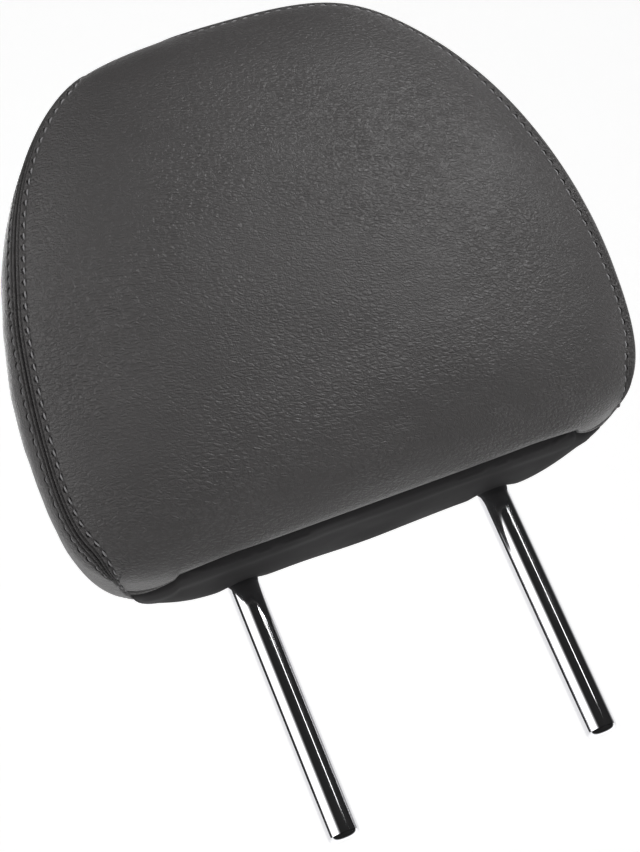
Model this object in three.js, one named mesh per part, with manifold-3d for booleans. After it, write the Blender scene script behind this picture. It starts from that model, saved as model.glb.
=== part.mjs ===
// Car headrest: a leather-covered foam head on one bent steel tube with two chromed posts.
// Millimetres, +Z up along the posts, the face that meets the head of the sitter looks to -Y.
// The origin lies midway between the posts, in the plane of their lower ends.

import * as THREE from 'three';
import { mergeVertices } from 'three/addons/utils/BufferGeometryUtils.js';
import Module from 'manifold-3d';

// Posts and the tube they are bent from
const postSpacing = 120;
const postDiameter = 14;
const postWall = 2;
const postReach = 116; // from the post ends to the underside of the head
const postEndRound = 3;
const ventDiameter = 4;
const tubeBendHeight = 16; // above the underside
const tubeTilt = THREE.MathUtils.degToRad(25);
const tubeUprightLength = 92; // from the bend to the crossbar
const tubeBendRadius = 42;
const tubeCornerRadius = 28;

// Head, seen from the front
const headWidth = 263;
const headHeight = 214;
const widestHeight = 62; // above the underside
const shoulderWidth = 174;
const shoulderHeight = 187;
const shoulderSlope = THREE.MathUtils.degToRad(48);
const ringMiddle = 0.43; // height of the ring's middle, as a share of the head's
// How far the outline runs straight on from each point before it turns, as shares
const undersideRun = 0.88; // of half the head's width
const cornerRun = 1.12; // of the widest height, downwards
const sideRun = 0.375; // of the rise from the widest height to the shoulder
const shoulderRunDown = 0.335; // of the same rise
const shoulderRunUp = 0.19; // of the shoulder's width
const crownRun = 0.28; // of the shoulder's width

// Head, seen from the side
const ringSetback = -47; // the widest ring at the underside, from the posts
const headLean = 0.176; // forward shift for each unit of height
const faceDepth = 43; // the face in front of the widest ring
const backDepth = 92; // the back behind the widest ring, at the underside
const backTaper = 0.32; // loss of back depth for each unit of height
const faceFullness = 2.7;
const backFullness = 1.9;
const rollFullness = 2.4; // of the face, at the underside
const underFullness = 3.6; // of the back, at the underside
const crownFullness = 2.4;
const cornerKeep = 4.5; // how far from the ring its corners reach before they melt
const roundFullness = 2; // an exact oval, which every fullness turns into at the middles

// Seams of the cover, as angles from the widest ring
const seamAtRoll = THREE.MathUtils.degToRad(-4);
const seamAtCorners = THREE.MathUtils.degToRad(-11);
const seamAtSides = THREE.MathUtils.degToRad(-23);
const seamAtCrown = THREE.MathUtils.degToRad(-9);
// Shares of the head's height where the seam's angle turns from one of these to the next
const cornerTop = 0.08;
const sideMiddle = 0.5;
const crownStart = 0.55;
const underPanelReach = 0.6; // share of the ring's lower stretch that the underside panel takes
const underPanelSweep = THREE.MathUtils.degToRad(60);
const underPanelTip = THREE.MathUtils.degToRad(4);
const underPanelRounding = 3; // higher is squarer

// Layers, from the outside in
const coverThickness = 2.4;
const panelGap = 1.1;
const layerGap = 1;
const tapeWidth = 14;
const tapeThickness = 0.6;
const stripWidth = 7;
const stripThickness = 1.2;
const stripReach = 0.36; // share of the underside panel's length, between the posts

// Plastic carrier round the tube
const carrierMargin = 16; // beyond the tube's centre line
const carrierFrontDepth = 13;
const carrierRearDepth = 12;
const carrierStart = 16; // above the tube's bend
const carrierCorner = 12;
const carrierFloor = 3;
const carrierWall = 3;
const screwDiameter = 4;
const screwLength = 17;
const screwHeadDiameter = 8;
const screwHeadHeight = 2.5;
const screwCrownShare = 0.6; // flat top of the head over its diameter
const fitGap = 0.3;
const foamFitGap = 1.2; // round the seam's tape
const channelEnd = 0.004; // how far the foam's channels run past the strips, as a turn of the ring

// Fineness of the curved surfaces
const ringSteps = 24;
const cornerSteps = 12;
const underSteps = 24;
const faceRows = 8;
const underRows = 3;
const backRows = 12;
const roundSides = 16;
const boreSides = 10;
const endSteps = 3;
const bendSteps = 32;
const smallSides = 12;
const cornerSides = 5;
const slopeStep = 0.01; // of a turn or of an angle, for the slope of the skin
const joinOverlap = 0.5; // by which the straight posts run into the bent tube

const leatherMaterial = new THREE.MeshStandardMaterial({ color: 0x4c4a4c, roughness: 0.55, metalness: 0 });
const underMaterial = new THREE.MeshStandardMaterial({ color: 0x2f2e30, roughness: 0.8, metalness: 0 });
const chromeMaterial = new THREE.MeshStandardMaterial({ color: 0xd8dadc, roughness: 0.08, metalness: 1 });
const foamMaterial = new THREE.MeshStandardMaterial({ color: 0xb9b4a2, roughness: 0.95, metalness: 0 });
const plasticMaterial = new THREE.MeshStandardMaterial({ color: 0x1c1d1f, roughness: 0.6, metalness: 0 });
const tapeMaterial = new THREE.MeshStandardMaterial({ color: 0x3a3a3c, roughness: 0.9, metalness: 0 });
const screwMaterial = new THREE.MeshStandardMaterial({ color: 0x9a9ca0, roughness: 0.35, metalness: 0.9 });

const wasm = await Module();
wasm.setup();

// Solids for joining and cutting

function toSolid(geometry) {
  const plain = geometry.clone();
  plain.deleteAttribute('normal');
  plain.deleteAttribute('uv');
  const merged = mergeVertices(plain, 1e-4);
  return new wasm.Manifold(new wasm.Mesh({
    numProp: 3,
    vertProperties: merged.attributes.position.array,
    triVerts: new Uint32Array(merged.index.array),
  }));
}

function toGeometry(solid) {
  const mesh = solid.getMesh();
  const geometry = new THREE.BufferGeometry();
  geometry.setAttribute('position', new THREE.BufferAttribute(new Float32Array(mesh.vertProperties), 3));
  geometry.setIndex(new THREE.BufferAttribute(new Uint32Array(mesh.triVerts), 1));
  geometry.computeVertexNormals();
  return geometry;
}

function cut(geometry, tools) {
  return toGeometry(tools.reduce((solid, tool) => solid.subtract(toSolid(tool)), toSolid(geometry)));
}

function join(geometries) {
  const solids = geometries.map(toSolid);
  return toGeometry(solids.reduce((sum, next) => sum.add(next)));
}

function named(name, geometry, material) {
  const mesh = new THREE.Mesh(geometry, material);
  mesh.name = name;
  return mesh;
}

// The head's widest ring, seen from the front: half of it, from the underside to the crown

function halfRing() {
  const half = headWidth / 2;
  const low = new THREE.Vector2(0, 0);
  const side = new THREE.Vector2(half, widestHeight);
  const shoulder = new THREE.Vector2(shoulderWidth / 2, shoulderHeight);
  const crown = new THREE.Vector2(0, headHeight);
  const slope = new THREE.Vector2(-Math.cos(shoulderSlope), Math.sin(shoulderSlope));
  const sideRise = shoulderHeight - widestHeight;
  const path = new THREE.CurvePath();
  path.add(new THREE.CubicBezierCurve(
    low,
    new THREE.Vector2(half * undersideRun, 0),
    new THREE.Vector2(half, widestHeight * (1 - cornerRun)),
    side,
  ));
  path.add(new THREE.CubicBezierCurve(
    side,
    new THREE.Vector2(half, widestHeight + sideRise * sideRun),
    shoulder.clone().addScaledVector(slope, -sideRise * shoulderRunDown),
    shoulder,
  ));
  path.add(new THREE.CubicBezierCurve(
    shoulder,
    shoulder.clone().addScaledVector(slope, shoulderWidth * shoulderRunUp),
    new THREE.Vector2(shoulderWidth * crownRun, headHeight),
    crown,
  ));
  return path;
}

const ringPath = halfRing();
const ringCentre = headHeight * ringMiddle;

// A turn of the ring runs from -1 to 1, with 0 below and both ends at the crown
function ringPoint(turn) {
  const point = ringPath.getPoint(Math.min(Math.abs(turn), 1));
  return new THREE.Vector2(point.x * Math.sign(turn), point.y);
}

// How far the ring reaches in its own direction, next to an oval of the same width and height
function ovalShare(ring) {
  const across = ring.x / (headWidth / 2);
  const up = (ring.y - ringCentre) / (headHeight / 2);
  return 1 / Math.hypot(across, up);
}

// A point of the head's skin: angle -90 degrees is the middle of the face, 90 the middle of the back.
// Towards either middle the ring's corners melt into an oval.
function skinPoint(turn, angle) {
  const ring = ringPoint(turn);
  const sideFullness = angle < 0 ? faceFullness : backFullness;
  const endFullness = ring.y > ringCentre ? crownFullness : angle < 0 ? rollFullness : underFullness;
  const end = ring.y > ringCentre ? headHeight : 0;
  const nearness = (ring.y - ringCentre) / (end - ringCentre);
  const skinFullness = THREE.MathUtils.lerp(sideFullness, endFullness, nearness ** 2);
  const fullness = THREE.MathUtils.lerp(roundFullness, skinFullness, Math.cos(angle));
  const span = Math.abs(Math.cos(angle)) ** (2 / fullness);
  const spread = span * ovalShare(ring) ** (1 - span ** cornerKeep);
  const reach = Math.sign(angle) * Math.abs(Math.sin(angle)) ** (2 / fullness);
  const z = ringCentre + (ring.y - ringCentre) * spread;
  const depth = angle < 0 ? faceDepth : backDepth - backTaper * z;
  return new THREE.Vector3(ring.x * spread, ringSetback - headLean * z + reach * depth, z);
}

function skinNormal(turn, angle) {
  const furthest = Math.PI / 2 - 2 * slopeStep;
  const held = THREE.MathUtils.clamp(angle, -furthest, furthest);
  const along = wrapped(turn + slopeStep, held).sub(wrapped(turn - slopeStep, held));
  const across = skinPoint(turn, held + slopeStep).sub(skinPoint(turn, held - slopeStep));
  return across.cross(along).normalize();
}

function wrapped(turn, angle) {
  return skinPoint(turn > 1 ? turn - 2 : turn < -1 ? turn + 2 : turn, angle);
}

function poleNormal(angle) {
  const sum = new THREE.Vector3();
  for (const turn of [0, 0.5, 1, -0.5]) sum.add(skinNormal(turn, angle));
  return sum.normalize();
}

function layerPoint(turn, angle, depth) {
  const pole = Math.abs(angle) >= Math.PI / 2;
  const normal = pole ? poleNormal(angle) : skinNormal(turn, angle);
  return skinPoint(turn, angle).addScaledVector(normal, -depth);
}

// How far one millimetre across the skin turns the angle
function angleOfMillimetre(turn, angle) {
  const ahead = skinPoint(turn, angle + slopeStep);
  return (2 * slopeStep) / ahead.distanceTo(skinPoint(turn, angle - slopeStep));
}

// Seam lines

function seamAngle(turn) {
  const height = ringPoint(turn).y / headHeight;
  const { lerp, smoothstep } = THREE.MathUtils;
  const corner = lerp(seamAtRoll, seamAtCorners, smoothstep(height, 0, cornerTop));
  const side = lerp(corner, seamAtSides, smoothstep(height, 0, sideMiddle));
  return lerp(side, seamAtCrown, smoothstep(height, crownStart, 1));
}

const sideTurn = ringPath.curves[0].getLength() / ringPath.getLength();
const underEnd = underPanelReach * sideTurn;

function spread(from, to, steps) {
  return Array.from({ length: steps + 1 }, (_, i) => THREE.MathUtils.lerp(from, to, i / steps));
}

// Where the underside panel meets the back panel; past its tips the line follows the seam
function closingAngle(turn) {
  const share = Math.min(Math.abs(turn) / underEnd, 1);
  const lens = 1 - share ** underPanelRounding;
  return seamAngle(turn) + underPanelTip + (underPanelSweep - underPanelTip) * lens;
}

// Skin grid: turns along the ring and angles from face to back, with narrow gaps at the seams

function ringTurns() {
  const gap = panelGap / (2 * ringPath.getLength());
  const turns = [];
  for (let i = 0; i <= underSteps; i++) {
    turns.push(THREE.MathUtils.lerp(-underEnd + gap, underEnd - gap, i / underSteps));
  }
  const corner = spread(underEnd + gap, sideTurn, cornerSteps);
  const upper = spread(sideTurn, 2 - sideTurn, ringSteps).slice(1, -1);
  const otherCorner = corner.map((turn) => 2 - turn).reverse();
  for (const turn of [...corner, ...upper, ...otherCorner]) turns.push(turn > 1 ? turn - 2 : turn);
  return turns;
}

function rowAngles(turn) {
  const seam = seamAngle(turn);
  const closing = closingAngle(turn);
  const seamHalf = angleOfMillimetre(turn, seam) * panelGap / 2;
  const closingHalf = angleOfMillimetre(turn, closing) * panelGap / 2;
  const quarter = Math.PI / 2;
  const rows = [];
  for (let i = 0; i <= faceRows; i++) {
    rows.push(THREE.MathUtils.lerp(-quarter, seam - seamHalf, i / faceRows));
  }
  for (let i = 0; i <= underRows; i++) {
    rows.push(THREE.MathUtils.lerp(seam + seamHalf, closing - closingHalf, i / underRows));
  }
  for (let i = 0; i <= backRows; i++) {
    rows.push(THREE.MathUtils.lerp(closing + closingHalf, quarter, i / backRows));
  }
  return rows;
}

const turns = ringTurns();
const rowCount = faceRows + underRows + backRows + 3;
const seamRow = faceRows;
const closingRow = faceRows + underRows + 1;

function layerGrid(depth) {
  return turns.map((turn) => rowAngles(turn).map((angle) => layerPoint(turn, angle, depth)));
}

function pushQuad(list, a, b, c, d) {
  for (const corner of [a, c, b, a, d, c]) list.push(corner.x, corner.y, corner.z);
}

function closedGeometry(list) {
  const geometry = new THREE.BufferGeometry();
  geometry.setAttribute('position', new THREE.Float32BufferAttribute(list, 3));
  const merged = mergeVertices(geometry, 1e-3);
  merged.setIndex(withoutSlivers(merged));
  merged.computeVertexNormals();
  return merged;
}

function withoutSlivers(geometry) {
  const kept = [];
  const index = geometry.index.array;
  for (let i = 0; i < index.length; i += 3) {
    const [a, b, c] = index.slice(i, i + 3);
    if (a !== b && b !== c && c !== a) kept.push(a, b, c);
  }
  return kept;
}

// A sheet of the skin: the cells that belong to it, between an outer and an inner layer
function skinSheet(outer, inner, belongs) {
  const list = [];
  const columns = turns.length;
  const has = (i, j) => j >= 0 && j < rowCount - 1 && belongs((i + columns) % columns, j);
  for (let i = 0; i < columns; i++) {
    const next = (i + 1) % columns;
    for (let j = 0; j < rowCount - 1; j++) {
      if (!has(i, j)) continue;
      pushQuad(list, outer[i][j], outer[next][j], outer[next][j + 1], outer[i][j + 1]);
      pushQuad(list, inner[i][j], inner[i][j + 1], inner[next][j + 1], inner[next][j]);
      if (j > 0 && !has(i, j - 1)) pushQuad(list, outer[i][j], inner[i][j], inner[next][j], outer[next][j]);
      if (j < rowCount - 2 && !has(i, j + 1)) {
        pushQuad(list, outer[next][j + 1], inner[next][j + 1], inner[i][j + 1], outer[i][j + 1]);
      }
      if (!has(i - 1, j)) pushQuad(list, outer[i][j + 1], inner[i][j + 1], inner[i][j], outer[i][j]);
      if (!has(i + 1, j)) {
        pushQuad(list, outer[next][j], inner[next][j], inner[next][j + 1], outer[next][j + 1]);
      }
    }
  }
  return closedGeometry(list);
}

function skinBody(layer) {
  const list = [];
  const columns = turns.length;
  for (let i = 0; i < columns; i++) {
    const next = (i + 1) % columns;
    for (let j = 0; j < rowCount - 1; j++) {
      pushQuad(list, layer[i][j], layer[next][j], layer[next][j + 1], layer[i][j + 1]);
    }
  }
  return closedGeometry(list);
}

// A strip laid along a line of the skin: its section is given as [millimetres across, depth]
function skinStrip(lineAngle, corners, stations) {
  const outline = corners.map(([across, depth]) => new THREE.Vector2(across, depth));
  if (THREE.ShapeUtils.area(outline) < 0) outline.reverse();
  const rings = stations.map((station) => {
    const turn = station > 1 ? station - 2 : station;
    const line = lineAngle(turn);
    const scale = angleOfMillimetre(turn, line);
    return outline.map((corner) => layerPoint(turn, line + corner.x * scale, corner.y));
  });
  const list = [];
  const steps = rings.length - 1;
  for (let i = 0; i < steps; i++) {
    for (let k = 0; k < outline.length; k++) {
      const m = (k + 1) % outline.length;
      pushQuad(list, rings[i][k], rings[i + 1][k], rings[i + 1][m], rings[i][m]);
    }
  }
  for (const [a, b, c] of THREE.ShapeUtils.triangulateShape(outline, [])) {
    for (const k of [c, b, a]) list.push(...rings[0][k].toArray());
    for (const k of [a, b, c]) list.push(...rings[steps][k].toArray());
  }
  return closedGeometry(list);
}

// Bent tube

class Arc3 extends THREE.Curve {
  constructor(corner, before, after, radius) {
    super();
    const into = corner.clone().sub(before).normalize();
    const out = after.clone().sub(corner).normalize();
    this.sweep = into.angleTo(out);
    this.setback = radius * Math.tan(this.sweep / 2);
    this.start = corner.clone().addScaledVector(into, -this.setback);
    this.end = corner.clone().addScaledVector(out, this.setback);
    this.into = into;
    this.inward = out.clone().addScaledVector(into, -out.dot(into)).normalize();
    this.radius = radius;
  }

  getPoint(t, target = new THREE.Vector3()) {
    const angle = this.sweep * t;
    return target.copy(this.start)
      .addScaledVector(this.into, this.radius * Math.sin(angle))
      .addScaledVector(this.inward, this.radius * (1 - Math.cos(angle)));
  }
}

const crossbarHeight = tubeBendHeight + tubeUprightLength * Math.cos(tubeTilt);
const crossbarSetback = -tubeUprightLength * Math.sin(tubeTilt);

function roundedPath(points, radii) {
  const path = new THREE.CurvePath();
  let from = points[0];
  for (let i = 1; i < points.length - 1; i++) {
    const arc = new Arc3(points[i], points[i - 1], points[i + 1], radii[i - 1]);
    path.add(new THREE.LineCurve3(from, arc.start));
    path.add(arc);
    from = arc.end;
  }
  path.add(new THREE.LineCurve3(from, points[points.length - 1]));
  return path;
}

// The bent stretch above the straight posts
function tubePath(startHeight) {
  const x = postSpacing / 2;
  return roundedPath([
    new THREE.Vector3(-x, 0, startHeight),
    new THREE.Vector3(-x, 0, tubeBendHeight),
    new THREE.Vector3(-x, crossbarSetback, crossbarHeight),
    new THREE.Vector3(x, crossbarSetback, crossbarHeight),
    new THREE.Vector3(x, 0, tubeBendHeight),
    new THREE.Vector3(x, 0, startHeight),
  ], [tubeBendRadius, tubeCornerRadius, tubeCornerRadius, tubeBendRadius]);
}

function tubeSweep(radius, startHeight, sides) {
  const section = new THREE.Shape();
  section.absarc(0, 0, radius, 0, 2 * Math.PI, false);
  return new THREE.ExtrudeGeometry(section, {
    curveSegments: sides / 2,
    steps: bendSteps,
    bevelEnabled: false,
    extrudePath: tubePath(startHeight),
  });
}

function roundBar(radius, endRound, bottom, top, x, sides) {
  const points = [new THREE.Vector2(0, bottom)];
  for (let i = 0; i <= endSteps; i++) {
    const angle = (Math.PI / 2) * (i / endSteps);
    const out = radius - endRound + endRound * Math.sin(angle);
    points.push(new THREE.Vector2(out, bottom + endRound - endRound * Math.cos(angle)));
  }
  points.push(new THREE.Vector2(radius, top), new THREE.Vector2(0, top));
  return new THREE.LatheGeometry(points, sides).rotateX(Math.PI / 2).translate(x, 0, 0);
}

const bendSetback = tubeBendRadius * Math.tan(tubeTilt / 2);
const straightTop = tubeBendHeight - bendSetback;

function barsAndBend(radius, endRound, bottom, sides) {
  const joinHeight = straightTop - joinOverlap;
  const x = postSpacing / 2;
  return join([
    tubeSweep(radius, joinHeight - joinOverlap, sides),
    roundBar(radius, endRound, bottom, joinHeight, -x, sides),
    roundBar(radius, endRound, bottom, joinHeight, x, sides),
  ]);
}

function postFrame() {
  const radius = postDiameter / 2;
  const outside = barsAndBend(radius, postEndRound, -postReach, roundSides);
  const boreRadius = radius - postWall;
  const bore = barsAndBend(boreRadius, postEndRound - postWall, -postReach + 2 * postWall, boreSides);
  const vent = new THREE.CylinderGeometry(ventDiameter / 2, ventDiameter / 2, 2 * postWall, smallSides);
  vent.rotateX(Math.PI / 2);
  vent.translate(0, crossbarSetback, crossbarHeight - radius + postWall / 2);
  return cut(outside, [bore, vent]);
}

// Plastic carrier: two halves that meet in the plane of the tilted tube

const carrierHalfWidth = postSpacing / 2 + carrierMargin;
const carrierTop = tubeUprightLength + carrierMargin;

function carrierOutline(inset) {
  const x = carrierHalfWidth - inset;
  const low = carrierStart + inset;
  const high = carrierTop - inset;
  const round = Math.max(carrierCorner - inset, 1);
  const shape = new THREE.Shape();
  shape.moveTo(-x + round, low);
  shape.lineTo(x - round, low);
  shape.absarc(x - round, low + round, round, -Math.PI / 2, 0, false);
  shape.lineTo(x, high - round);
  shape.absarc(x - round, high - round, round, 0, Math.PI / 2, false);
  shape.lineTo(-x + round, high);
  shape.absarc(-x + round, high - round, round, Math.PI / 2, Math.PI, false);
  shape.lineTo(-x, low + round);
  shape.absarc(-x + round, low + round, round, Math.PI, 1.5 * Math.PI, false);
  return shape;
}

// An outline in the plane of the tube, given thickness from one depth to another
function plate(shape, fromDepth, toDepth) {
  const geometry = new THREE.ExtrudeGeometry(shape, {
    depth: toDepth - fromDepth,
    bevelEnabled: false,
    curveSegments: cornerSides,
  });
  return geometry.rotateX(Math.PI / 2).translate(0, toDepth, 0);
}

// The tube as it lies in the carrier's own plane
function tubeInCarrier(radius) {
  const inCarrier = new THREE.Matrix4().makeRotationX(-tubeTilt);
  return tubeSweep(radius, straightTop - joinOverlap, roundSides)
    .translate(0, 0, -tubeBendHeight)
    .applyMatrix4(inCarrier);
}

const screwRow = screwHeadDiameter + 2 * carrierWall;
const pocketWidth = postSpacing / 2 - postDiameter / 2 - 1.5 * carrierWall;
const pocketBottom = carrierStart + screwRow;
const pocketTop = tubeUprightLength - postDiameter / 2 - screwRow;
const screwPlaces = [];
for (const x of [-postSpacing / 4, postSpacing / 4]) {
  for (const z of [pocketBottom - screwRow / 2, pocketTop + screwRow / 2]) {
    screwPlaces.push(new THREE.Vector2(x, z));
  }
}

function pocket(side, fromDepth, toDepth) {
  const centre = side * (pocketWidth + carrierWall) / 2;
  const geometry = new THREE.BoxGeometry(pocketWidth, toDepth - fromDepth, pocketTop - pocketBottom);
  return geometry.translate(centre, (fromDepth + toDepth) / 2, (pocketTop + pocketBottom) / 2);
}

function roundTool(diameter, place, fromDepth, toDepth) {
  const geometry = new THREE.CylinderGeometry(diameter / 2, diameter / 2, toDepth - fromDepth, roundSides);
  return geometry.translate(place.x, (fromDepth + toDepth) / 2, place.y);
}

function carrierHalf(fromDepth, toDepth, openSide) {
  const shell = plate(carrierOutline(0), fromDepth, toDepth);
  const outerFace = openSide < 0 ? fromDepth : toDepth;
  const floor = outerFace - openSide * (toDepth - fromDepth - carrierFloor);
  const pocketSpan = [Math.min(floor, outerFace + openSide), Math.max(floor, outerFace + openSide)];
  const tools = [tubeInCarrier(postDiameter / 2 + fitGap)];
  for (const side of [-1, 1]) tools.push(pocket(side, ...pocketSpan));
  return { shell, tools };
}

const screwTip = carrierRearDepth - screwHeadHeight - screwLength;

function carrierFront() {
  const { shell, tools } = carrierHalf(-carrierFrontDepth, -fitGap / 2, -1);
  for (const place of screwPlaces) {
    tools.push(roundTool(screwDiameter + 2 * fitGap, place, screwTip - fitGap, 1));
  }
  return cut(shell, tools);
}

function carrierRear() {
  const { shell, tools } = carrierHalf(fitGap / 2, carrierRearDepth, 1);
  const seat = carrierRearDepth - screwHeadHeight - fitGap;
  for (const place of screwPlaces) {
    tools.push(roundTool(screwDiameter + 2 * fitGap, place, -1, carrierRearDepth));
    tools.push(roundTool(screwHeadDiameter + 2 * fitGap, place, seat, carrierRearDepth + 1));
  }
  return cut(shell, tools);
}

function carrierScrew() {
  const shank = screwDiameter / 2;
  const head = screwHeadDiameter / 2;
  const profile = [
    new THREE.Vector2(0, screwTip),
    new THREE.Vector2(shank, screwTip + shank),
    new THREE.Vector2(shank, carrierRearDepth - screwHeadHeight),
    new THREE.Vector2(head, carrierRearDepth - screwHeadHeight),
    new THREE.Vector2(head, carrierRearDepth - screwHeadHeight / 2),
    new THREE.Vector2(head * screwCrownShare, carrierRearDepth),
    new THREE.Vector2(0, carrierRearDepth),
  ];
  return new THREE.LatheGeometry(profile, smallSides);
}

// Soft parts

const foamDepth = coverThickness + layerGap;
const outerLayer = layerGrid(0);
const coverInnerLayer = layerGrid(coverThickness);
const lastUnderColumn = underSteps;

function inUnderColumns(i) {
  return i < lastUnderColumn;
}

function isTipColumn(i) {
  return i === lastUnderColumn || i === turns.length - 1;
}

function facePanel() {
  return skinSheet(outerLayer, coverInnerLayer, (i, j) => j < seamRow);
}

function backPanel() {
  return skinSheet(outerLayer, coverInnerLayer, (i, j) => {
    const besideUnderPanel = j > seamRow && j <= closingRow && !inUnderColumns(i) && !isTipColumn(i);
    return besideUnderPanel || j > closingRow;
  });
}

function tubeTool() {
  return tubeSweep(postDiameter / 2 + fitGap, -tubeBendHeight, roundSides);
}

function undersidePanel() {
  const sheet = skinSheet(outerLayer, coverInnerLayer, (i, j) => {
    return j > seamRow && j < closingRow && inUnderColumns(i);
  });
  return cut(sheet, [tubeTool()]);
}

function lengthened(stations) {
  return [stations[0] - channelEnd, ...stations, stations[stations.length - 1] + channelEnd];
}

const tapeStations = spread(underEnd, 2 - underEnd, ringSteps + 2 * cornerSteps);
const stripStations = spread(-underEnd * stripReach, underEnd * stripReach, underSteps);

// The reinforcing tape under the twin-stitched seam, from one lower corner over the crown to the other
function seamTape() {
  const half = tapeWidth / 2;
  const bottom = foamDepth + tapeThickness;
  const top = coverThickness;
  const section = [[-half, top], [0, top], [half, top], [half, bottom], [0, bottom], [-half, bottom]];
  return insideCover(skinStrip(seamAngle, section, tapeStations));
}

function insideCover(geometry) {
  const inside = skinBody(layerGrid(coverThickness + fitGap));
  return toGeometry(toSolid(geometry).intersect(toSolid(inside)));
}

function tapeChannel() {
  const half = tapeWidth / 2 + foamFitGap;
  const bottom = foamDepth + tapeThickness + foamFitGap;
  const top = -coverThickness;
  const section = [[-half, top], [0, top], [half, top], [half, bottom], [0, bottom], [-half, bottom]];
  return skinStrip(seamAngle, section, lengthened(tapeStations));
}

// Two hooked strips close the cover: the underside panel's hooks over the back panel's
const hookDrop = stripThickness + fitGap;
const upperLegEnd = foamDepth + stripThickness;
const lowerLegEnd = upperLegEnd + 2 * hookDrop;

function upperStrip() {
  const hookEnd = hookDrop + stripThickness;
  return closingStrip([
    [-stripWidth, foamDepth],
    [hookEnd, foamDepth],
    [hookEnd, upperLegEnd + hookDrop],
    [hookDrop, upperLegEnd + hookDrop],
    [hookDrop, upperLegEnd],
    [-stripWidth, upperLegEnd],
  ]);
}

function lowerStrip() {
  return closingStrip([
    [0, upperLegEnd + fitGap],
    [stripThickness, upperLegEnd + fitGap],
    [stripThickness, upperLegEnd + hookDrop + fitGap],
    [stripWidth, upperLegEnd + hookDrop + fitGap],
    [stripWidth, lowerLegEnd],
    [0, lowerLegEnd],
  ]);
}

function closingStrip(section) {
  return insideCover(skinStrip(closingAngle, section, stripStations));
}

function closingChannel() {
  const half = stripWidth + fitGap;
  const bottom = lowerLegEnd + 2 * fitGap;
  const section = [[-half, 0], [0, 0], [half, 0], [half, bottom], [0, bottom], [-half, bottom]];
  return skinStrip(closingAngle, section, lengthened(stripStations));
}

const carrierPlace = new THREE.Matrix4()
  .makeTranslation(0, 0, tubeBendHeight)
  .multiply(new THREE.Matrix4().makeRotationX(tubeTilt));

function foamPad() {
  const carrierSpace = plate(carrierOutline(-fitGap), -carrierFrontDepth - fitGap, carrierRearDepth + fitGap);
  return cut(skinBody(layerGrid(foamDepth)), [
    carrierSpace.applyMatrix4(carrierPlace),
    tubeTool(),
    tapeChannel(),
    closingChannel(),
  ]);
}

const head = new THREE.Group();
head.position.z = postReach;

head.add(named('cover_face_panel', facePanel(), leatherMaterial));
head.add(named('cover_back_panel', backPanel(), leatherMaterial));
head.add(named('cover_underside_panel', undersidePanel(), underMaterial));
head.add(named('seam_tape', seamTape(), tapeMaterial));
head.add(named('closing_strip_underside', upperStrip(), plasticMaterial));
head.add(named('closing_strip_back', lowerStrip(), plasticMaterial));
head.add(named('foam_pad', foamPad(), foamMaterial));
head.add(named('post_frame', postFrame(), chromeMaterial));

const carrier = new THREE.Group();
carrier.position.z = tubeBendHeight;
carrier.rotation.x = tubeTilt;
head.add(carrier);
carrier.add(named('carrier_front', carrierFront(), plasticMaterial));
carrier.add(named('carrier_rear', carrierRear(), plasticMaterial));
screwPlaces.forEach((place, i) => {
  const screw = named(`carrier_screw_${i + 1}`, carrierScrew(), screwMaterial);
  screw.position.set(place.x, 0, place.y);
  carrier.add(screw);
});

export default head;
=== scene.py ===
"""Car headrest: a leather-covered foam head on one bent tube with two chromed posts."""

import math

import bmesh
import bpy
import numpy as np
from bpy.props import FloatProperty, FloatVectorProperty, IntProperty, PointerProperty
from mathutils import Matrix, Vector, noise
from mathutils.bvhtree import BVHTree


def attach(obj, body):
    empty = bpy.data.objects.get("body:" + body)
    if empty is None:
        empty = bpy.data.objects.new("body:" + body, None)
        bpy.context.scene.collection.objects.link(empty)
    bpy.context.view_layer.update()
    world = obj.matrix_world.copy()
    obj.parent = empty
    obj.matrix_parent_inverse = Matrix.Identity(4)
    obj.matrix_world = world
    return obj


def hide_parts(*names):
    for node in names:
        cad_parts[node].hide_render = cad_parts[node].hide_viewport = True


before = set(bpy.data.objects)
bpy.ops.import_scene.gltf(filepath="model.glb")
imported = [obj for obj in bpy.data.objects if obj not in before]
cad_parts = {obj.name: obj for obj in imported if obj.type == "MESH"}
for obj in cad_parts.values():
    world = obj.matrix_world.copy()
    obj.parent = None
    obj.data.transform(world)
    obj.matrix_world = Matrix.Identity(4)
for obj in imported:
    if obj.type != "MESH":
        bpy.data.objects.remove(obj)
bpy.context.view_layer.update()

bl_info = {
    "name": "Car Headrest",
    "version": (1, 0, 0),
    "blender": (4, 5, 0),
    "location": "3D View > Sidebar > Headrest",
    "description": "Dresses the headrest's solids with a sewn leather cover and chromed posts",
    "category": "Object",
}

FACE_MIDDLE, BACK_MIDDLE = -math.pi / 2, math.pi / 2  # angles on the head's skin


# Settings


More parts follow.
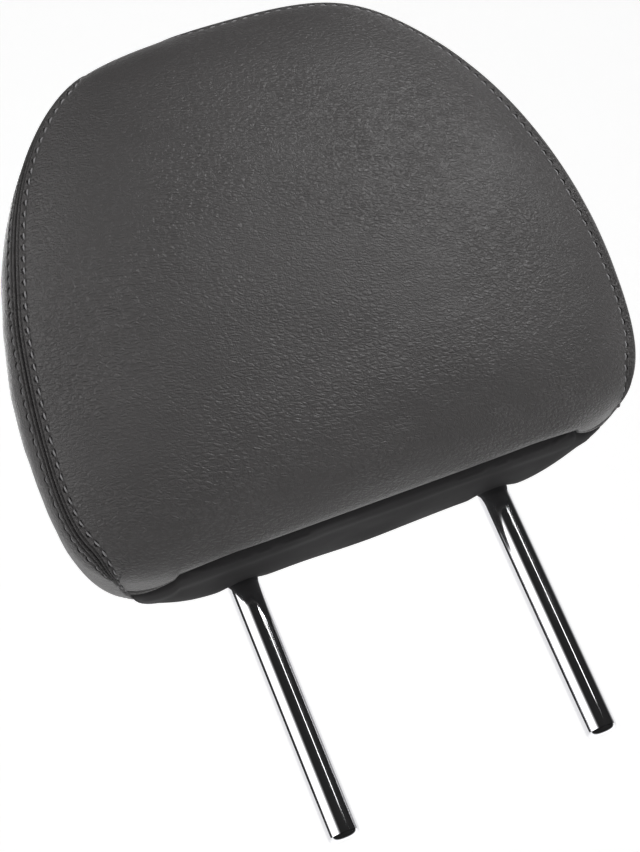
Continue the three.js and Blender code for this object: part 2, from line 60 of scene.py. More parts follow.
class HeadShape(bpy.types.PropertyGroup):
    """The padded head's outline from the front and its depth from the side."""

    underside: FloatProperty(
        name="Underside height", description="Bare posts below the head", default=0.116, unit="LENGTH"
    )
    width: FloatProperty(
        name="Width", description="Across the widest ring", default=0.263, unit="LENGTH"
    )
    height: FloatProperty(
        name="Height", description="From the underside to the crown", default=0.214, unit="LENGTH"
    )
    widest_height: FloatProperty(
        name="Widest height", description="Where the head is widest, above its underside",
        default=0.062, unit="LENGTH",
    )
    shoulder_width: FloatProperty(
        name="Shoulder width", description="Across the shoulders of the outline",
        default=0.174, unit="LENGTH",
    )
    shoulder_height: FloatProperty(
        name="Shoulder height", description="The shoulders, above the underside",
        default=0.187, unit="LENGTH",
    )
    shoulder_slope: FloatProperty(
        name="Shoulder slope", description="How steeply the outline climbs at the shoulders",
        default=math.radians(48), subtype="ANGLE",
    )
    setback: FloatProperty(
        name="Ring setback", description="The widest ring at the underside, from the posts",
        default=-0.047, unit="LENGTH",
    )
    lean: FloatProperty(
        name="Lean", description="Forward shift for each unit of height", default=0.176
    )
    face_depth: FloatProperty(
        name="Face depth", description="The face in front of the widest ring",
        default=0.043, unit="LENGTH",
    )
    back_depth: FloatProperty(
        name="Back depth", description="The back behind the widest ring, at the underside",
        default=0.092, unit="LENGTH",
    )
    back_taper: FloatProperty(
        name="Back taper", description="Loss of back depth for each unit of height", default=0.32
    )
    face_fullness: FloatProperty(
        name="Face fullness", description="2 is an oval section, more is boxier", default=2.7
    )
    back_fullness: FloatProperty(
        name="Back fullness", description="2 is an oval section, more is boxier", default=1.9
    )
    roll_fullness: FloatProperty(
        name="Roll fullness", description="Of the face, at the underside", default=2.4
    )
    under_fullness: FloatProperty(
        name="Underside fullness", description="2 is an oval section, more is boxier", default=3.6
    )
    crown_fullness: FloatProperty(
        name="Crown fullness", description="2 is an oval section, more is boxier", default=2.4
    )
    corner_keep: FloatProperty(
        name="Corner keep", description="How far from the ring its corners reach before they melt",
        default=4.5,
    )


class CoverStyle(bpy.types.PropertyGroup):
    """Seams, stitches and softness of the leather cover."""

    thickness: FloatProperty(
        name="Thickness", description="Leather with its thin backing", default=0.0024, unit="LENGTH"
    )
    side_seam: FloatProperty(
        name="Seam at the sides", description="Angle from the widest ring",
        default=math.radians(-24), subtype="ANGLE",
    )
    corner_seam: FloatProperty(
        name="Seam at the lower corners", description="Angle from the widest ring",
        default=math.radians(-11), subtype="ANGLE",
    )
    crown_seam: FloatProperty(
        name="Seam at the crown", description="Angle from the widest ring",
        default=math.radians(-8), subtype="ANGLE",
    )
    roll_seam: FloatProperty(
        name="Seam at the lower roll", description="Angle from the widest ring",
        default=math.radians(-4), subtype="ANGLE",
    )
    crown_drift: FloatProperty(
        name="Seam drift", description="How far the seam wanders back on the left of the crown",
        default=math.radians(12), subtype="ANGLE",
    )
    tip_sweep: FloatProperty(
        name="Tip sweep", description="How far the seam swings back at the underside panel's tips",
        default=math.radians(9), subtype="ANGLE",
    )
    under_reach: FloatProperty(
        name="Underside reach", description="Share of the ring's lower stretch under the panel",
        default=0.63, subtype="FACTOR",
    )
    under_sweep: FloatProperty(
        name="Underside sweep", description="How far the underside panel turns to the back",
        default=math.radians(60), subtype="ANGLE",
    )
    row_offset: FloatProperty(
        name="Stitch row offset", description="From the seam to each row of stitches",
        default=0.0044, unit="LENGTH",
    )
    stitch_pitch: FloatProperty(
        name="Stitch pitch", description="From one stitch to the next", default=0.0051, unit="LENGTH"
    )
    stitch_length: FloatProperty(
        name="Stitch length", description="Thread that shows in one stitch",
        default=0.0031, unit="LENGTH",
    )
    thread_radius: FloatProperty(
        name="Thread radius", description="Half the thread's thickness", default=0.00042, unit="LENGTH"
    )
    stitch_slant: FloatProperty(
        name="Stitch slant", description="Turn of each stitch off the line of its row",
        default=math.radians(9), subtype="ANGLE",
    )
    swell: FloatProperty(
        name="Swell", description="Share of the pad's simulated swelling that the cover follows",
        default=0.4, subtype="FACTOR",
    )
    columns: IntProperty(
        name="Columns", description="Points round the ring", default=440, min=64
    )


class PostShape(bpy.types.PropertyGroup):
    """The bent tube whose two ends are the posts."""

    spacing: FloatProperty(
        name="Spacing", description="Between the posts' middles", default=0.120, unit="LENGTH"
    )
    diameter: FloatProperty(
        name="Diameter", description="Of the tube", default=0.014, unit="LENGTH"
    )
    end_round: FloatProperty(
        name="End rounding", description="Radius at the lower ends", default=0.003, unit="LENGTH"
    )
    bend_height: FloatProperty(
        name="Bend height", description="The tube's bend, above the underside",
        default=0.016, unit="LENGTH",
    )
    tilt: FloatProperty(
        name="Tilt", description="Of the tube inside the head", default=math.radians(25), subtype="ANGLE"
    )
    upright: FloatProperty(
        name="Upright length", description="From the bend to the crossbar", default=0.092, unit="LENGTH"
    )
    bend_radius: FloatProperty(
        name="Bend radius", description="Of the tube's middle line", default=0.042, unit="LENGTH"
    )
    corner_radius: FloatProperty(
        name="Corner radius", description="At the crossbar's ends", default=0.028, unit="LENGTH"
    )
    sides: IntProperty(name="Sides", description="Facets round the tube", default=56, min=12)


class Finish(bpy.types.PropertyGroup):
    """Colours of the surfaces."""

    leather: FloatVectorProperty(
        name="Leather", description="Charcoal leather", subtype="COLOR", default=(0.062, 0.059, 0.059)
    )
    underside: FloatVectorProperty(
        name="Underside", description="Dull cover of the underside", subtype="COLOR",
        default=(0.022, 0.021, 0.022),
    )
    thread: FloatVectorProperty(
        name="Thread", description="Light grey sewing thread", subtype="COLOR",
        default=(0.24, 0.235, 0.24),
    )
    chrome: FloatVectorProperty(
        name="Chrome", description="Bright plate of the posts", subtype="COLOR",
        default=(0.80, 0.80, 0.82),
    )
    foam: FloatVectorProperty(
        name="Foam", description="Moulded foam of the pad", subtype="COLOR", default=(0.50, 0.47, 0.38)
    )
    plastic: FloatVectorProperty(
        name="Plastic", description="Carrier and closing strips", subtype="COLOR",
        default=(0.030, 0.030, 0.032),
    )
    steel: FloatVectorProperty(
        name="Steel", description="Screws of the carrier", subtype="COLOR", default=(0.55, 0.55, 0.57)
    )


class Studio(bpy.types.PropertyGroup):
    """Camera, lamps and floor."""

    azimuth: FloatProperty(
        name="Azimuth", description="Of the camera round the head", default=math.radians(-13.24),
        subtype="ANGLE",
    )
    elevation: FloatProperty(
        name="Elevation", description="Of the camera, seen from the head", default=math.radians(-17.23),
        subtype="ANGLE",
    )
    roll: FloatProperty(
        name="Roll", description="Of the picture", default=math.radians(-23.27), subtype="ANGLE"
    )
    distance: FloatProperty(
        name="Distance", description="From the camera to its target", default=0.7646, unit="LENGTH"
    )
    target: FloatVectorProperty(
        name="Target", description="Point at the middle of the picture", subtype="TRANSLATION",
        default=(-0.0009, 0.0, 0.1728),
    )
    lens: FloatProperty(name="Lens", description="Focal length in millimetres", default=71.83)
    floor_height: FloatProperty(
        name="Floor height", description="Of the floor that the headrest hovers over",
        default=-0.32, unit="LENGTH",
    )


class HeadrestSettings(bpy.types.PropertyGroup):
    """Everything that the headrest is made from."""

    head: PointerProperty(type=HeadShape)
    cover: PointerProperty(type=CoverStyle)
    posts: PointerProperty(type=PostShape)
    finish: PointerProperty(type=Finish)
    studio: PointerProperty(type=Studio)


# Skin of the head: a turn goes round the widest ring, an angle from the face to the back


def lerp(a, b, share):
    return a + (b - a) * share


def smoothstep(low, high, value):
    share = np.clip((value - low) / (high - low), 0.0, 1.0)
    return share * share * (3 - 2 * share)


def bell(value, middle, width):
    """1 at the middle, falling towards 0 on both sides over the width."""
    return np.exp(-(((value - middle) / width) ** 2))


def wrapped(turn):
    """A turn brought between -1 and 1; 0 is the underside's middle, 1 and -1 are the crown's."""
    return (np.asarray(turn) + 1) % 2 - 1


def cubic(points, steps):
    t = np.linspace(0, 1, steps)[:, None]
    a, b, c, d = (np.array(p) for p in points)
    return (1 - t) ** 3 * a + 3 * (1 - t) ** 2 * t * b + 3 * (1 - t) * t * t * c + t ** 3 * d


class Skin:
    """The head's surface, from the named sizes of its outline and its section."""

    ring_share = 0.43  # height of the ring's middle, as a share of the head's
    curve_steps, line_steps = 200, 240

    # Handles of the ring's curves, as shares of the sizes between which they bend
    low_reach, low_drop = 0.88, -0.12
    side_rise, shoulder_fall = 0.375, 0.335
    shoulder_run, crown_reach = 0.19, 0.28

    # Where the seam passes from one of its angles to the next, as shares of the head's height
    corner_height, side_height, crown_height = 0.08, 0.47, 0.55
    drift_heights, drift_reach = (0.955, 0.995), 0.04

    # The seam's swing at the underside panel's tips: its start as a share of the way to a tip
    swing_start, swing_power, swing_fade = 0.6, 1.3, 0.02

    def __init__(self, head, cover):
        self.head, self.cover = head, cover
        self.middle = head.height * self.ring_share
        self._trace_ring()

    def _trace_ring(self):
        head, steps = self.head, self.curve_steps
        half, top = head.width / 2, head.height
        shoulder = np.array([head.shoulder_width / 2, head.shoulder_height])
        slope = np.array([-math.cos(head.shoulder_slope), math.sin(head.shoulder_slope)])
        rise = head.shoulder_height - head.widest_height
        side = (half, head.widest_height)
        low_curve = [
            (0, 0), (half * self.low_reach, 0), (half, head.widest_height * self.low_drop), side
        ]
        side_curve = [
            side, (half, head.widest_height + rise * self.side_rise),
            shoulder - slope * rise * self.shoulder_fall, shoulder,
        ]
        crown_curve = [
            shoulder, shoulder + slope * head.shoulder_width * self.shoulder_run,
            (head.shoulder_width * self.crown_reach, top), (0, top),
        ]
        low = cubic(low_curve, steps)
        path = np.vstack([low, cubic(side_curve, steps)[1:], cubic(crown_curve, steps)[1:]])
        lengths = np.hypot(*np.diff(path, axis=0).T)
        self.ring_turns = np.concatenate([[0], np.cumsum(lengths)]) / lengths.sum()
        self.ring_path = path
        self.under_end = self.cover.under_reach * self.ring_turns[len(low) - 1]

    def ring(self, turn):
        turn = wrapped(turn)
        x = np.interp(np.abs(turn), self.ring_turns, self.ring_path[:, 0]) * np.sign(turn)
        z = np.interp(np.abs(turn), self.ring_turns, self.ring_path[:, 1])
        return x, z

    def point(self, turn, angle):
        head = self.head
        x, z = self.ring(turn)
        crown = z > self.middle
        nearness = (z - self.middle) / np.where(crown, head.height - self.middle, -self.middle)
        front = angle < 0
        side = np.where(front, head.face_fullness, head.back_fullness)
        low_end = np.where(front, head.roll_fullness, head.under_fullness)
        end = np.where(crown, head.crown_fullness, low_end)
        fullness = lerp(2.0, lerp(side, end, nearness ** 2), np.cos(angle))
        span = np.maximum(np.cos(angle), 0) ** (2 / fullness)
        oval = 1 / np.hypot(x / (head.width / 2), (z - self.middle) / (head.height / 2))
        spread = span * oval ** (1 - span ** head.corner_keep)
        reach = np.sign(angle) * np.abs(np.sin(angle)) ** (2 / fullness)
        height = self.middle + (z - self.middle) * spread
        depth = np.where(front, head.face_depth, head.back_depth - head.back_taper * height)
        y = head.setback - head.lean * height + reach * depth
        return np.stack([x * spread, y, height + head.underside], axis=-1)

    def seam_angle(self, turn):
        """Where the side seams lie; between the tips it is the face panel's rolled lower edge."""
        cover = self.cover
        x, z = self.ring(turn)
        height = z / self.head.height
        corner = lerp(cover.roll_seam, cover.corner_seam, smoothstep(0, self.corner_height, height))
        side = lerp(corner, cover.side_seam, smoothstep(0, self.side_height, height))
        whole = lerp(side, cover.crown_seam, smoothstep(self.crown_height, 1, height))
        from_middle = np.abs(wrapped(turn))
        share = (from_middle / self.under_end - self.swing_start) / (1 - self.swing_start)
        inside = np.clip(share, 0, 1) ** self.swing_power
        beyond = bell(from_middle, self.under_end, self.swing_fade)
        swing = cover.tip_sweep * np.where(from_middle < self.under_end, inside, beyond)
        drift = cover.crown_drift * smoothstep(*self.drift_heights, height)
        return whole + swing + drift * smoothstep(0, self.drift_reach, -x)

    def closing_angle(self, turn):
        """Where the underside panel meets the back panel; beyond its tips the seam goes on."""
        share = np.minimum(np.abs(wrapped(turn)) / self.under_end, 1)
        return self.seam_angle(turn) + self.cover.under_sweep * (1 - share ** 3) ** 0.8

    def lines(self, turns, starts, ends, distances):
        """Points on lines across the skin, and how far along its line each one lies.

        distances is a function that turns a line's length into the distances of its points.
        """
        samples = np.linspace(0, 1, self.line_steps)
        angles = starts[None, :] + (ends - starts)[None, :] * samples[:, None]
        fine = self.point(np.broadcast_to(turns, angles.shape), angles)
        steps = np.linalg.norm(np.diff(fine, axis=0), axis=2)
        arc = np.vstack([np.zeros(len(turns)), np.cumsum(steps, axis=0)])
        points = np.empty((len(distances(1.0)), len(turns), 3))
        run = np.empty(points.shape[:2])
        for i in range(len(turns)):
            run[:, i] = distances(arc[-1, i])
            angle = np.interp(run[:, i], arc[:, i], angles[:, i])
            points[:, i] = self.point(np.full(len(angle), turns[i]), angle)
        return points, run


def grid_normals(points, wrap):
    """Outward directions of a grid of points; a row drawn together in one point takes its mean."""
    across = np.gradient(points, axis=0)
    if wrap:
        along = np.roll(points, -1, axis=1) - np.roll(points, 1, axis=1)
    else:
        along = np.gradient(points, axis=1)
    normals = np.cross(across, along)
    length = np.linalg.norm(normals, axis=2, keepdims=True)
    normals = normals / np.maximum(length, 1e-12)
    middle = points.reshape(-1, 3).mean(axis=0)
    outward = np.sign(((points - middle) * normals).sum(axis=2).mean())
    normals *= outward
    for row, inner in ((0, 1), (-1, -2)):
        if np.ptp(points[row], axis=0).max() < 1e-6:
            normals[row] = normals[inner].mean(axis=0)
    return normals / np.maximum(np.linalg.norm(normals, axis=2, keepdims=True), 1e-12)


# Meshes

PANEL_WELD, PAD_WELD, TUBE_WELD = 2e-6, 1e-4, 1e-7  # points closer than this become one
NO_SEAM = 1.0  # distance noted for points that lie beside no sewn seam


def new_object(name, data):
    obj = bpy.data.objects.new(name, data)
    bpy.context.scene.collection.objects.link(obj)
    return obj


def set_smooth(mesh):
    mesh.polygons.foreach_set("use_smooth", [True] * len(mesh.polygons))


def grid_faces(rows, columns, wrap, first=0):
    """Index quads of a grid whose points are numbered row by row."""
    faces = []
    for j in range(rows - 1):
        for i in range(columns if wrap else columns - 1):
            k = (i + 1) % columns
            faces.append(tuple(first + n for n in (
                j * columns + i, j * columns + k, (j + 1) * columns + k, (j + 1) * columns + i
            )))
    return faces


def rim_faces(outer, inner, columns, wrap, first):
    """Index quads between one row of the outer wall and one of the inner wall."""
    faces = []
    for i in range(columns if wrap else columns - 1):
        k = (i + 1) % columns
        a, b = outer * columns, first + inner * columns
        faces.append((a + i, a + k, b + k, b + i))
    return faces


def side_faces(outer_rows, inner_rows, columns, column, first):
    """Closes one side of an unwrapped panel with a fan of triangles."""
    outer = [j * columns + column for j in range(outer_rows)]
    inner = [first + j * columns + column for j in range(inner_rows)]
    faces, i, k = [], 0, 0
    while i < outer_rows - 1 or k < inner_rows - 1:
        outer_next = (i + 1) / (outer_rows - 1) if i < outer_rows - 1 else 2
        inner_next = (k + 1) / (inner_rows - 1) if k < inner_rows - 1 else 2
        if outer_next <= inner_next:
            faces.append((outer[i], outer[i + 1], inner[k]))
            i += 1
        else:
            faces.append((outer[i], inner[k + 1], inner[k]))
            k += 1
    return faces


def panel_object(name, outer, inner, wrap, seam_map):
    """One panel of the cover: an outer and an inner wall, closed round the rim.

    seam_map holds, for each outer point, its place along the seam in stitches and its
    distance from the seam in metres, which the leather reads for its needle holes.
    """
    rows, columns = outer.shape[:2]
    inner_rows = inner.shape[0]
    first = rows * columns
    faces = grid_faces(rows, columns, wrap)
    faces += grid_faces(inner_rows, columns, wrap, first)
    faces += rim_faces(0, 0, columns, wrap, first)
    if not wrap:
        faces += rim_faces(rows - 1, inner_rows - 1, columns, wrap, first)
        faces += side_faces(rows, inner_rows, columns, 0, first)
        faces += side_faces(rows, inner_rows, columns, columns - 1, first)
    points = np.vstack([outer.reshape(-1, 3), inner.reshape(-1, 3)])
    mesh = bpy.data.meshes.new(name)
    mesh.from_pydata(points.tolist(), [], faces)
    far = np.tile([0.0, NO_SEAM], (inner_rows * columns, 1))
    places = np.vstack([seam_map.reshape(-1, 2), far])
    loops = np.empty(len(mesh.loops), dtype=np.int32)
    mesh.loops.foreach_get("vertex_index", loops)
    uv = mesh.uv_layers.new(name="Seam")
    uv.data.foreach_set("uv", places[loops].astype(np.float32).ravel())
    tidy_mesh(mesh, PANEL_WELD)
    return new_object(name, mesh)


def tidy_mesh(mesh, distance):
    """Draws doubled points together and turns the faces outwards."""
    work = bmesh.new()
    work.from_mesh(mesh)
    bmesh.ops.remove_doubles(work, verts=work.verts, dist=distance)
    bmesh.ops.dissolve_degenerate(work, edges=work.edges, dist=distance / 10)
    bmesh.ops.recalc_face_normals(work, faces=work.faces)
    work.to_mesh(mesh)
    work.free()
    set_smooth(mesh)


def plain_mesh(obj):
    """The object's modifiers turned into a mesh of its own."""
    graph = bpy.context.evaluated_depsgraph_get()
    return bpy.data.meshes.new_from_object(obj.evaluated_get(graph))


def points_of(mesh):
    """The mesh's points, one in each row."""
    flat = np.empty(len(mesh.vertices) * 3, dtype=np.float32)
    mesh.vertices.foreach_get("co", flat)
    return flat.reshape(-1, 3)


def faces_of(mesh):
    return [tuple(polygon.vertices) for polygon in mesh.polygons]


def finish_piece(obj, material, nodes=()):
    """Gives an object its material, hides the solids that it stands for and hangs it under the root
    body.
    """
    obj.data.materials.clear()
    obj.data.materials.append(material)
    if nodes:
        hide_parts(*nodes)
    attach(obj, "root")


# Materials


def new_material(name):
    """A material with its shader, and a way to add a node to it."""
    material = bpy.data.materials.new(name)
    material.use_nodes = True
    nodes = material.node_tree.nodes
    return material, nodes["Principled BSDF"], Nodes(material.node_tree)


class Nodes:
    """Adds linked nodes to a tree, one call for each node."""

    def __init__(self, tree):
        self.tree = tree

    def fill(self, node, inputs):
        """Gives a node its inputs: another node's output is linked, anything else is a value."""
        for key, value in inputs.items():
            if isinstance(value, bpy.types.NodeSocket):
                self.tree.links.new(value, node.inputs[key])
            else:
                node.inputs[key].default_value = value

    def add(self, kind, inputs=None, **options):
        node = self.tree.nodes.new(kind)
        for key, value in options.items():
            setattr(node, key, value)
        self.fill(node, inputs or {})
        return node

    def math(self, operation, a, b=0.0):
        return self.add("ShaderNodeMath", {0: a, 1: b}, operation=operation).outputs[0]

    def blend(self, a, share, b, other_share):
        """The sum of two values, each times its share."""
        first = self.math("MULTIPLY", a, share)
        return self.math("ADD", first, self.math("MULTIPLY", b, other_share))

    def ramp(self, value, low, high, to_low=0.0, to_high=1.0):
        """Maps a value smoothly from one range to another."""
        inputs = {0: value, 1: low, 2: high, 3: to_low, 4: to_high}
        return self.add("ShaderNodeMapRange", inputs, interpolation_type="SMOOTHSTEP").outputs[0]

    def tint(self, factor, dark, light):
        """A colour between two, by a factor."""
        inputs = {0: factor, 6: (*dark, 1), 7: (*light, 1)}
        return self.add("ShaderNodeMix", inputs, data_type="RGBA").outputs[2]

    def mix(self, factor, a, b):
        """A number between two, by a factor."""
        return self.add("ShaderNodeMix", {0: factor, 2: a, 3: b}, data_type="FLOAT").outputs[0]

    def place(self, scale=(1, 1, 1), turn=(0, 0, 0)):
        """Object coordinates, turned and then stretched."""
        where = self.add("ShaderNodeTexCoord").outputs["Object"]
        turned = self.add("ShaderNodeMapping", {"Rotation": turn, "Vector": where}).outputs[0]
        return self.add("ShaderNodeMapping", {"Scale": scale, "Vector": turned}).outputs[0]

    def warp(self, vector, scale, reach):
        """Coordinates pushed about by noise."""
        inputs = {"Scale": scale, "Detail": 2.0, "Vector": vector}
        push = self.add("ShaderNodeTexNoise", inputs).outputs["Color"]
        push = self.add("ShaderNodeVectorMath", {0: push, 3: reach}, operation="SCALE").outputs[0]
        return self.add("ShaderNodeVectorMath", {0: vector, 1: push}, operation="ADD").outputs[0]

    def along(self, vector, direction):
        """How far a vector points in a direction, from -1 to 1."""
        inputs = {0: vector, 1: direction}
        return self.add("ShaderNodeVectorMath", inputs, operation="DOT_PRODUCT").outputs["Value"]

    def noise(self, vector, scale, detail=2.0, roughness=0.5):
        inputs = {"Scale": scale, "Detail": detail, "Roughness": roughness, "Vector": vector}
        return self.add("ShaderNodeTexNoise", inputs).outputs["Fac"]

    def cells(self, vector, scale, feature="DISTANCE_TO_EDGE"):
        inputs = {"Scale": scale, "Vector": vector}
        return self.add("ShaderNodeTexVoronoi", inputs, feature=feature).outputs["Distance"]

    def bump(self, height, strength, distance, normal=None):
        inputs = {"Strength": strength, "Distance": distance, "Height": height}
        if normal:
            inputs["Normal"] = normal
        return self.add("ShaderNodeBump", inputs).outputs[0]


def scaled(colour, factor):
    return tuple(channel * factor for channel in colour)


GRAIN_DEPTH = 0.0005
GRAIN_LAY = (0, math.radians(-22), 0)  # the hide lies a little turned on the face
GRAIN_STRETCH = (0.46, 0.75, 1.0)  # below 1 draws the grain out along that axis
HOLE_DEPTH = 0.0008
HOLE_FLOOR, HOLE_RIM = 0.0008, 0.0014  # radii of a needle hole


def leather_material(name, colour, cover):
    """Leather with a drawn-out grain, faint creases and needle holes along the stitch rows, each hole
    darkened with painted shade.
    """
    material, shader, nodes = new_material(name)
    where = nodes.place()
    drawn = nodes.warp(nodes.place(GRAIN_STRETCH, GRAIN_LAY), 380, 0.0018)
    wrinkles = nodes.ramp(nodes.cells(drawn, 700), 0.0, 0.34)
    folds = nodes.noise(drawn, 640, 3, 0.65)
    pebbles = nodes.ramp(nodes.cells(nodes.warp(where, 700, 0.0008), 1150), 0.0, 0.4)
    patches = nodes.ramp(nodes.noise(where, 26, 3), 0.35, 0.65, 0.45, 1.0)
    blotches = nodes.noise(where, 15, 3)
    grain = nodes.blend(nodes.blend(wrinkles, 0.6, folds, 0.9), patches, pebbles, 0.22)

    tone = nodes.ramp(nodes.blend(grain, 0.4, blotches, 0.6), 0.2, 0.9)
    base = nodes.tint(tone, scaled(colour, 0.86), scaled(colour, 1.12))
    hole = needle_holes(nodes, cover)
    # Painted shade: inside each needle hole the colour falls to 0.12 of the leather's.
    holes_with_painted_shade = nodes.add(
        "ShaderNodeMix", {0: hole, 6: base, 7: (*scaled(colour, 0.12), 1)}, data_type="RGBA"
    ).outputs[2]
    normal = nodes.bump(grain, 0.8, GRAIN_DEPTH)
    nodes.fill(shader, {
        "Base Color": holes_with_painted_shade,
        "Roughness": nodes.ramp(grain, 0.3, 1.4, 0.44, 0.34),
        "Specular IOR Level": 0.5,
        "Normal": nodes.bump(nodes.math("SUBTRACT", 1.0, hole), 0.9, HOLE_DEPTH, normal),
    })
    return material


def needle_holes(nodes, cover):
    """1 inside the small holes between the stitches, 0 elsewhere."""
    seam = nodes.add("ShaderNodeUVMap", uv_map="Seam").outputs[0]
    parts = nodes.add("ShaderNodeSeparateXYZ", {0: seam})
    along = nodes.math("SUBTRACT", nodes.math("FRACT", parts.outputs[0]), 0.5)
    along = nodes.math("MULTIPLY", along, cover.stitch_pitch)
    across = nodes.math("SUBTRACT", parts.outputs[1], cover.row_offset)
    reach = nodes.math("SQRT", nodes.blend(along, along, across, across))
    return nodes.ramp(reach, HOLE_FLOOR, HOLE_RIM, 1.0, 0.0)


def underside_material(colour):
    """Smooth dull cover material with a hardly visible weave."""
    material, shader, nodes = new_material("underside_cloth")
    where = nodes.place()
    fine = nodes.noise(where, 1500, 2, 0.6)
    cloud = nodes.noise(where, 30, 3)
    tone = nodes.blend(fine, 0.4, cloud, 0.6)
    nodes.fill(shader, {
        "Base Color": nodes.tint(tone, scaled(colour, 0.75), scaled(colour, 1.25)),
        "Roughness": nodes.ramp(cloud, 0.3, 0.7, 0.72, 0.84),
        "Specular IOR Level": 0.2,
        "Normal": nodes.bump(fine, 0.3, 0.0001),
    })
    return material


def thread_material(colour):
    """Twisted sewing thread."""
    material, shader, nodes = new_material("sewing_thread")
    fibres = nodes.noise(nodes.place(), 3200, 2, 0.7)
    tone = nodes.ramp(fibres, 0.3, 0.7)
    nodes.fill(shader, {
        "Base Color": nodes.tint(tone, scaled(colour, 0.7), scaled(colour, 1.2)),
        "Roughness": 0.7,
        "Normal": nodes.bump(fibres, 0.5, 0.0001),
    })
    return material


def chrome_material(colour):
    """Bright plate with faint polishing marks and a little handling haze."""
    material, shader, nodes = new_material("chrome_plate")
    haze = nodes.noise(nodes.place(), 45, 4, 0.6)
    marks = nodes.noise(nodes.place((14, 14, 1)), 160, 2, 0.6)
    nodes.fill(shader, {
        "Base Color": (*colour, 1),
        "Metallic": 1.0,
        "Roughness": nodes.ramp(haze, 0.35, 0.8, 0.06, 0.13),
        "Normal": nodes.bump(marks, 0.06, 0.00004),
    })
    return material


def foam_material(colour):
    """Open-cell moulded foam, with painted shade darkening its pores."""
    material, shader, nodes = new_material("moulded_foam")
    where = nodes.place()
    pores = nodes.ramp(nodes.cells(where, 900, "F1"), 0.1, 0.6)
    # Painted shade: the pores' dents are darker, varied by a random cloud.
    tone = nodes.math("MULTIPLY", pores, nodes.noise(where, 25, 3))
    nodes.fill(shader, {
        "Base Color": nodes.tint(tone, scaled(colour, 0.7), colour),
        "Roughness": 0.95,
        "Normal": nodes.bump(pores, 0.6, 0.0004),
    })
    return material


def plastic_material(colour):
    """Moulded plastic with a fine spark-eroded texture."""
    material, shader, nodes = new_material("moulded_plastic")
    where = nodes.place()
    texture = nodes.noise(where, 1300, 3, 0.6)
    cloud = nodes.noise(where, 40, 2)
    nodes.fill(shader, {
        "Base Color": nodes.tint(cloud, scaled(colour, 0.85), scaled(colour, 1.2)),
        "Roughness": nodes.ramp(texture, 0.3, 0.7, 0.48, 0.62),
        "Normal": nodes.bump(texture, 0.3, 0.0001),
    })
    return material


def tape_material(colour):
    """Woven tape."""
    material, shader, nodes = new_material("woven_tape")
    waves = nodes.add(
        "ShaderNodeTexWave", {"Scale": 420.0, "Distortion": 0.6, "Vector": nodes.place()}
    ).outputs["Fac"]
    nodes.fill(shader, {
        "Base Color": nodes.tint(waves, scaled(colour, 0.7), scaled(colour, 1.3)),
        "Roughness": 0.85,
        "Normal": nodes.bump(waves, 0.5, 0.0002),
    })
    return material


def steel_material(colour):
    """Zinc-plated steel with turning marks."""
    material, shader, nodes = new_material("plated_steel")
    marks = nodes.noise(nodes.place((1, 6, 1)), 700, 3)
    nodes.fill(shader, {
        "Base Color": (*colour, 1),
        "Metallic": 1.0,
        "Roughness": nodes.ramp(marks, 0.3, 0.7, 0.28, 0.42),
        "Normal": nodes.bump(marks, 0.2, 0.00005),
    })
    return material


# Foam pad: blown up by a cloth simulation, as a stuffed cover swells

PAD_INSET = 0.004  # the pad starts this far inside the skin
PAD_ROWS, PAD_COLUMNS = 90, 120
PAD_VOXEL = 0.005
PAD_CAP = 0.006  # furthest that a point may swell
PAD_FRAMES = 20
PAD_SEARCH = 0.015  # the swollen pad is looked for this far to both sides of the skin
SWELL_CAP = 0.0025  # furthest that the cover follows the pad
SWELL_REACH, SWELL_PASSES = 0.012, 6  # how widely and how often the swelling is evened out
SWELL_COLUMNS, SWELL_STEPS = 3, 60  # columns to each side, and steps along a column
SWOLLEN = "swollen"
FOAM_GAP = 0.0065  # the finished pad lies this far inside its swollen form


def pad_blank(skin):
    """A closed mesh of the skin, a little inside it."""
    turns = np.linspace(-1, 1, PAD_COLUMNS + 1)[:-1]
    ends = np.full(PAD_COLUMNS, BACK_MIDDLE)
    points, _ = skin.lines(turns, -ends, ends, lambda length: np.linspace(0, length, PAD_ROWS))
    points = points - grid_normals(points, True) * PAD_INSET
    mesh = bpy.data.meshes.new("pad_blank")
    mesh.from_pydata(points.reshape(-1, 3).tolist(), [], grid_faces(PAD_ROWS, PAD_COLUMNS, True))
    tidy_mesh(mesh, PAD_WELD)
    return new_object("pad_blank", mesh)


def blown_up(pad, start):
    """Where a cloth simulation with pressure moves the pad's points, no further than the cap."""
    cloth = pad.modifiers.new("Swelling", "CLOTH")
    cloth.settings.quality = 5
    cloth.settings.mass = 0.3
    cloth.settings.use_pressure = True
    cloth.settings.uniform_pressure_force = 4
    cloth.settings.effector_weights.gravity = 0
    cloth.collision_settings.use_collision = False
    scene = bpy.context.scene
    for number in range(1, PAD_FRAMES + 1):
        scene.frame_set(number)
    swollen = plain_mesh(pad)
    shift = points_of(swollen) - start
    bpy.data.meshes.remove(swollen)
    pad.modifiers.remove(cloth)
    scene.frame_set(1)
    length = np.linalg.norm(shift, axis=1, keepdims=True)
    return start + shift * np.minimum(1, PAD_CAP / np.maximum(length, 1e-9))


def simulate_pad(skin):
    """Remeshes the pad evenly, presses it out from inside and rounds its facets."""
    blank = pad_blank(skin)
    remesh = blank.modifiers.new("Even mesh", "REMESH")
    remesh.mode = "VOXEL"
    remesh.voxel_size = PAD_VOXEL
    mesh = plain_mesh(blank)
    bpy.data.objects.remove(blank)
    pad = new_object("foam_core", mesh)
    points = points_of(mesh)
    points = blown_up(pad, points)
    mesh.vertices.foreach_set("co", points.astype(np.float32).ravel())
    subdivide = pad.modifiers.new("Smooth", "SUBSURF")
    subdivide.levels = subdivide.render_levels = 1
    finer = plain_mesh(pad)
    pad.modifiers.remove(subdivide)
    pad.data = finer
    set_smooth(finer)
    settle(finer)
    return pad


